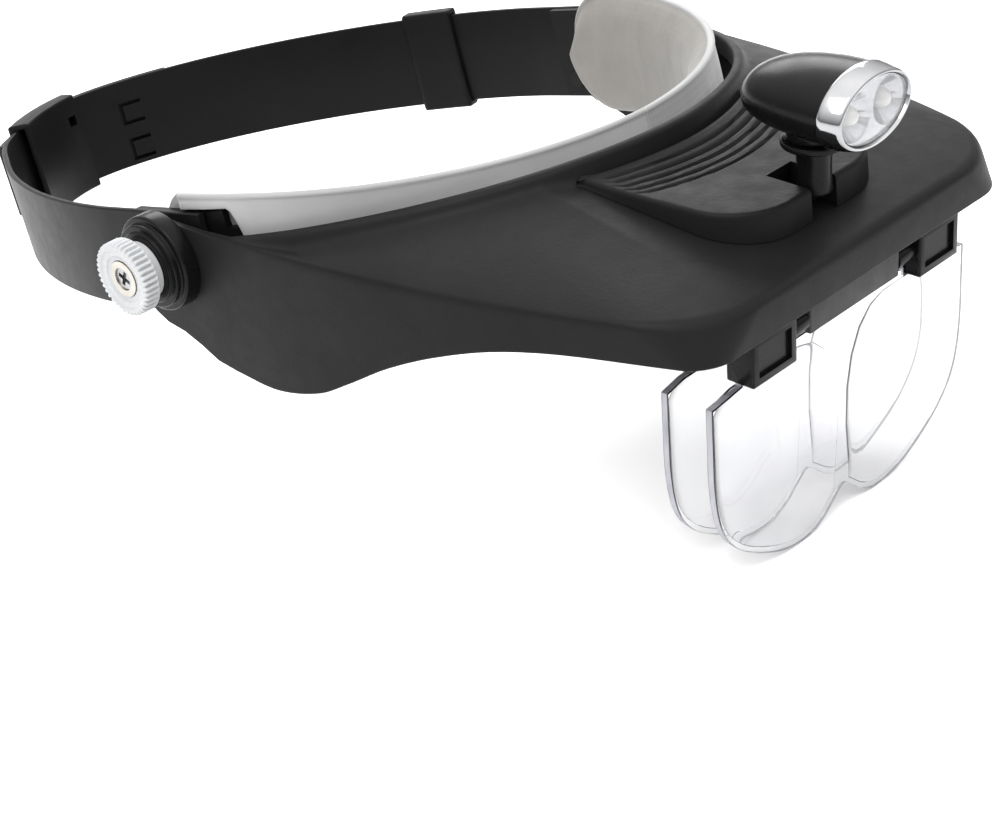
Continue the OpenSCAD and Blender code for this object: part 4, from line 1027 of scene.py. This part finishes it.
def make_reflector():
    """Oval mirror with a faceted bowl round each lamp."""
    n, rows = 144, 46
    front, back = LAMP_BACK + 4.3, LAMP_BACK + 0.8
    a, b = LAMP_HALF - 1.35, LAMP_HALF_Z - 1.35
    rings = []
    for i in range(rows + 1):
        g = (i + 0.02) / (rows + 0.02)
        ring = []
        for k in range(n):
            x, z = a * g * dcos(360 * k / n), b * g * dsin(360 * k / n)
            dx = abs(x) - LED_X
            r = math.hypot(dx, z)
            turn = math.degrees(math.atan2(z, dx))
            facet = 0.14 * abs(dsin(turn * 9)) * clamp01((r - 1.5) / 2)
            depth = CUP_DEPTH * (1 - (min(r, CUP_R) / CUP_R) ** 2) - facet * clamp01((CUP_R - r) / 0.5)
            ring.append(pt(x, front - max(0.0, depth), LAMP_Z + z))
        rings.append(ring)
    rings.append(oval(back, a, b, LAMP_Z, n))
    rings.append(oval(back, a * 0.02, b * 0.02, LAMP_Z, n))
    loft("lamp_reflector", rings, "mirror", "lamp_head", "reflector_mirror", replaces=("reflector",),
         sharp=25)
    for side, tag in ((-1, "right"), (1, "left")):
        dome = [(2.4, 0), (2.4, 1.6), (2.37, 2.1), (2.2, 2.7), (1.9, 3.3), (1.4, 3.9), (0.8, 4.25),
                (0.1, 4.38)]
        rings = [[pt(side * LED_X + r * dcos(t), LAMP_BACK + 0.35 + d, LAMP_Z + r * dsin(t))
                  for t in spread(0, 351, 39)] for r, d in dome]
        extra = {"replaces": ("leds",)} if side < 0 else {}
        loft(tag + "_led", rings, "led", "lamp_head", "led_lens", sharp=40, **extra)


def make_window():
    a, b = LAMP_HALF - 1.25, LAMP_HALF_Z - 1.25
    rings = [oval(LAMP_BACK + 4.85, a * g, b * g, LAMP_Z, 96) for g in (0.05, 0.5, 1)]
    rings += [oval(LAMP_BACK + 5.35 + 0.25 * (1 - g * g), a * g, b * g, LAMP_Z, 96)
              for g in (1, 0.9, 0.7, 0.5, 0.25, 0.05)]
    loft("lamp_front_window", rings, "window", "lamp_head", "window_plastic", replaces=("lamp_window",),
         sharp=50)


def make_bracket():
    """Round post with a flat table under the lamp and a knuckle on the tilt pin."""
    stem = rounded([(0.1, BRACKET_Z + 1), (4.2, BRACKET_Z + 1), (3.9, FLANGE_Z - 5), (4.3, FLANGE_Z + 0.2),
                    (0.1, FLANGE_Z + 0.2)], [0.05, 0.8, 3, 0.3, 0.05])
    post = upright("bracket_post", stem, 0, SWIVEL_AT, "gloss", "lamp_bracket", "gloss_black",
                   replaces=("tilt_bracket",))
    hole = upright("cutter", [(3, FLANGE_Z - 8), (3, FLANGE_Z - 1.8)], 0, SWIVEL_AT, "case", None, None)
    slim = upright("cutter", [(1.55, FLANGE_Z - 3), (1.55, FLANGE_Z + 3)], 0, SWIVEL_AT, "case", None, None)
    cut(post, [hole, slim, rod_cutter(-5, 5, 1.25, BRACKET_AT, BRACKET_Z, 32)])
    table = rounded([(1.55, FLANGE_Z), (7.6, FLANGE_Z), (7.6, FLANGE_Z + 1.7), (1.55, FLANGE_Z + 1.7)],
                    [0.1, 0.5, 0.5, 0.1])
    upright("bracket_table", table, 0, SWIVEL_AT, "gloss", "lamp_bracket", "gloss_black", closed=True)
    knuckle = rounded([(-4.3, 1.25), (4.3, 1.25), (4.3, 2.5), (-4.3, 2.5)], 0.3)
    rings = [[pt(x, BRACKET_AT + r * dcos(t), BRACKET_Z + r * dsin(t)) for t in spread(0, 352, 44)]
             for x, r in knuckle]
    loft("bracket_knuckle", rings, "gloss", "lamp_bracket", "gloss_black", closed=True)


make_lamp()
make_reflector()
make_window()
make_bracket()


# ---------- camera, light and floor ----------
def set_camera():
    a, e, roll = math.radians(-44.35), math.radians(31.26), math.radians(-4.96)
    back = Vector((math.sin(a) * math.cos(e), -math.cos(a) * math.cos(e), math.sin(e)))
    right = (-back).cross(Vector((0, 0, 1))).normalized()
    up = right.cross(-back)
    r2 = right * math.cos(roll) + up * math.sin(roll)
    u2 = -right * math.sin(roll) + up * math.cos(roll)
    cam = bpy.data.objects.new("camera", bpy.data.cameras.new("camera"))
    cam.data.sensor_width = 36
    cam.data.lens = 83.85
    cam.data.clip_start = 0.01
    turn = Matrix((r2, u2, back)).transposed()
    cam.matrix_world = Matrix.Translation(Vector((-381.79, -417.29, 254.68)) * MM) @ turn.to_4x4()
    bpy.context.scene.collection.objects.link(cam)
    bpy.context.scene.camera = cam


def area_light(name, place, aim, size, power):
    light = bpy.data.lights.new(name, "AREA")
    light.shape = "RECTANGLE"
    light.size, light.size_y = size
    light.energy = power
    obj = bpy.data.objects.new(name, light)
    obj.location = place
    obj.rotation_mode = "QUATERNION"
    obj.rotation_quaternion = (Vector(aim) - Vector(place)).to_track_quat("-Z", "Y")
    bpy.context.scene.collection.objects.link(obj)


def make_floor():
    m, nt, bsdf = new_material("floor_paper")
    nt.links.new(ramp(nt, noise(nt, 3, 2), (0.93, 0.93, 0.93), (0.96, 0.96, 0.96)), bsdf.inputs["Base Color"])
    bsdf.inputs["Roughness"].default_value = 0.9
    bsdf.inputs["Specular IOR Level"].default_value = 0.1
    z = cad_box[0].z - 0.0006
    mesh = bpy.data.meshes.new("floor")
    mesh.from_pydata([(-4, -4, z), (4, -4, z), (4, 4, z), (-4, 4, z)], [], [(0, 1, 2, 3)])
    mesh.materials.append(m)
    floor = bpy.data.objects.new("floor", mesh)
    bpy.context.scene.collection.objects.link(floor)


def set_light():
    """Bright overhead sky that falls off to a dim horizon, with two soft panels."""
    world = bpy.data.worlds.new("studio")
    world.use_nodes = True
    nt = world.node_tree
    at = nt.nodes.new("ShaderNodeTexCoord")
    split = nt.nodes.new("ShaderNodeSeparateXYZ")
    nt.links.new(at.outputs["Generated"], split.inputs["Vector"])
    shade = ramp(nt, split.outputs["Z"], (0.16, 0.16, 0.165), (1, 1, 1), 0.02, 0.8)
    nt.links.new(shade, nt.nodes["Background"].inputs["Color"])
    nt.nodes["Background"].inputs["Strength"].default_value = 2.3
    bpy.context.scene.world = world
    area_light("key", (-0.5, -0.2, 0.9), (0, 0, 0), (0.7, 0.7), 7)
    area_light("sheen", (0.75, 0.7, 0.55), (0.02, -0.1, 0), (0.8, 0.5), 6)
    bpy.context.scene.view_settings.view_transform = "Standard"


set_camera()
make_floor()
set_light()
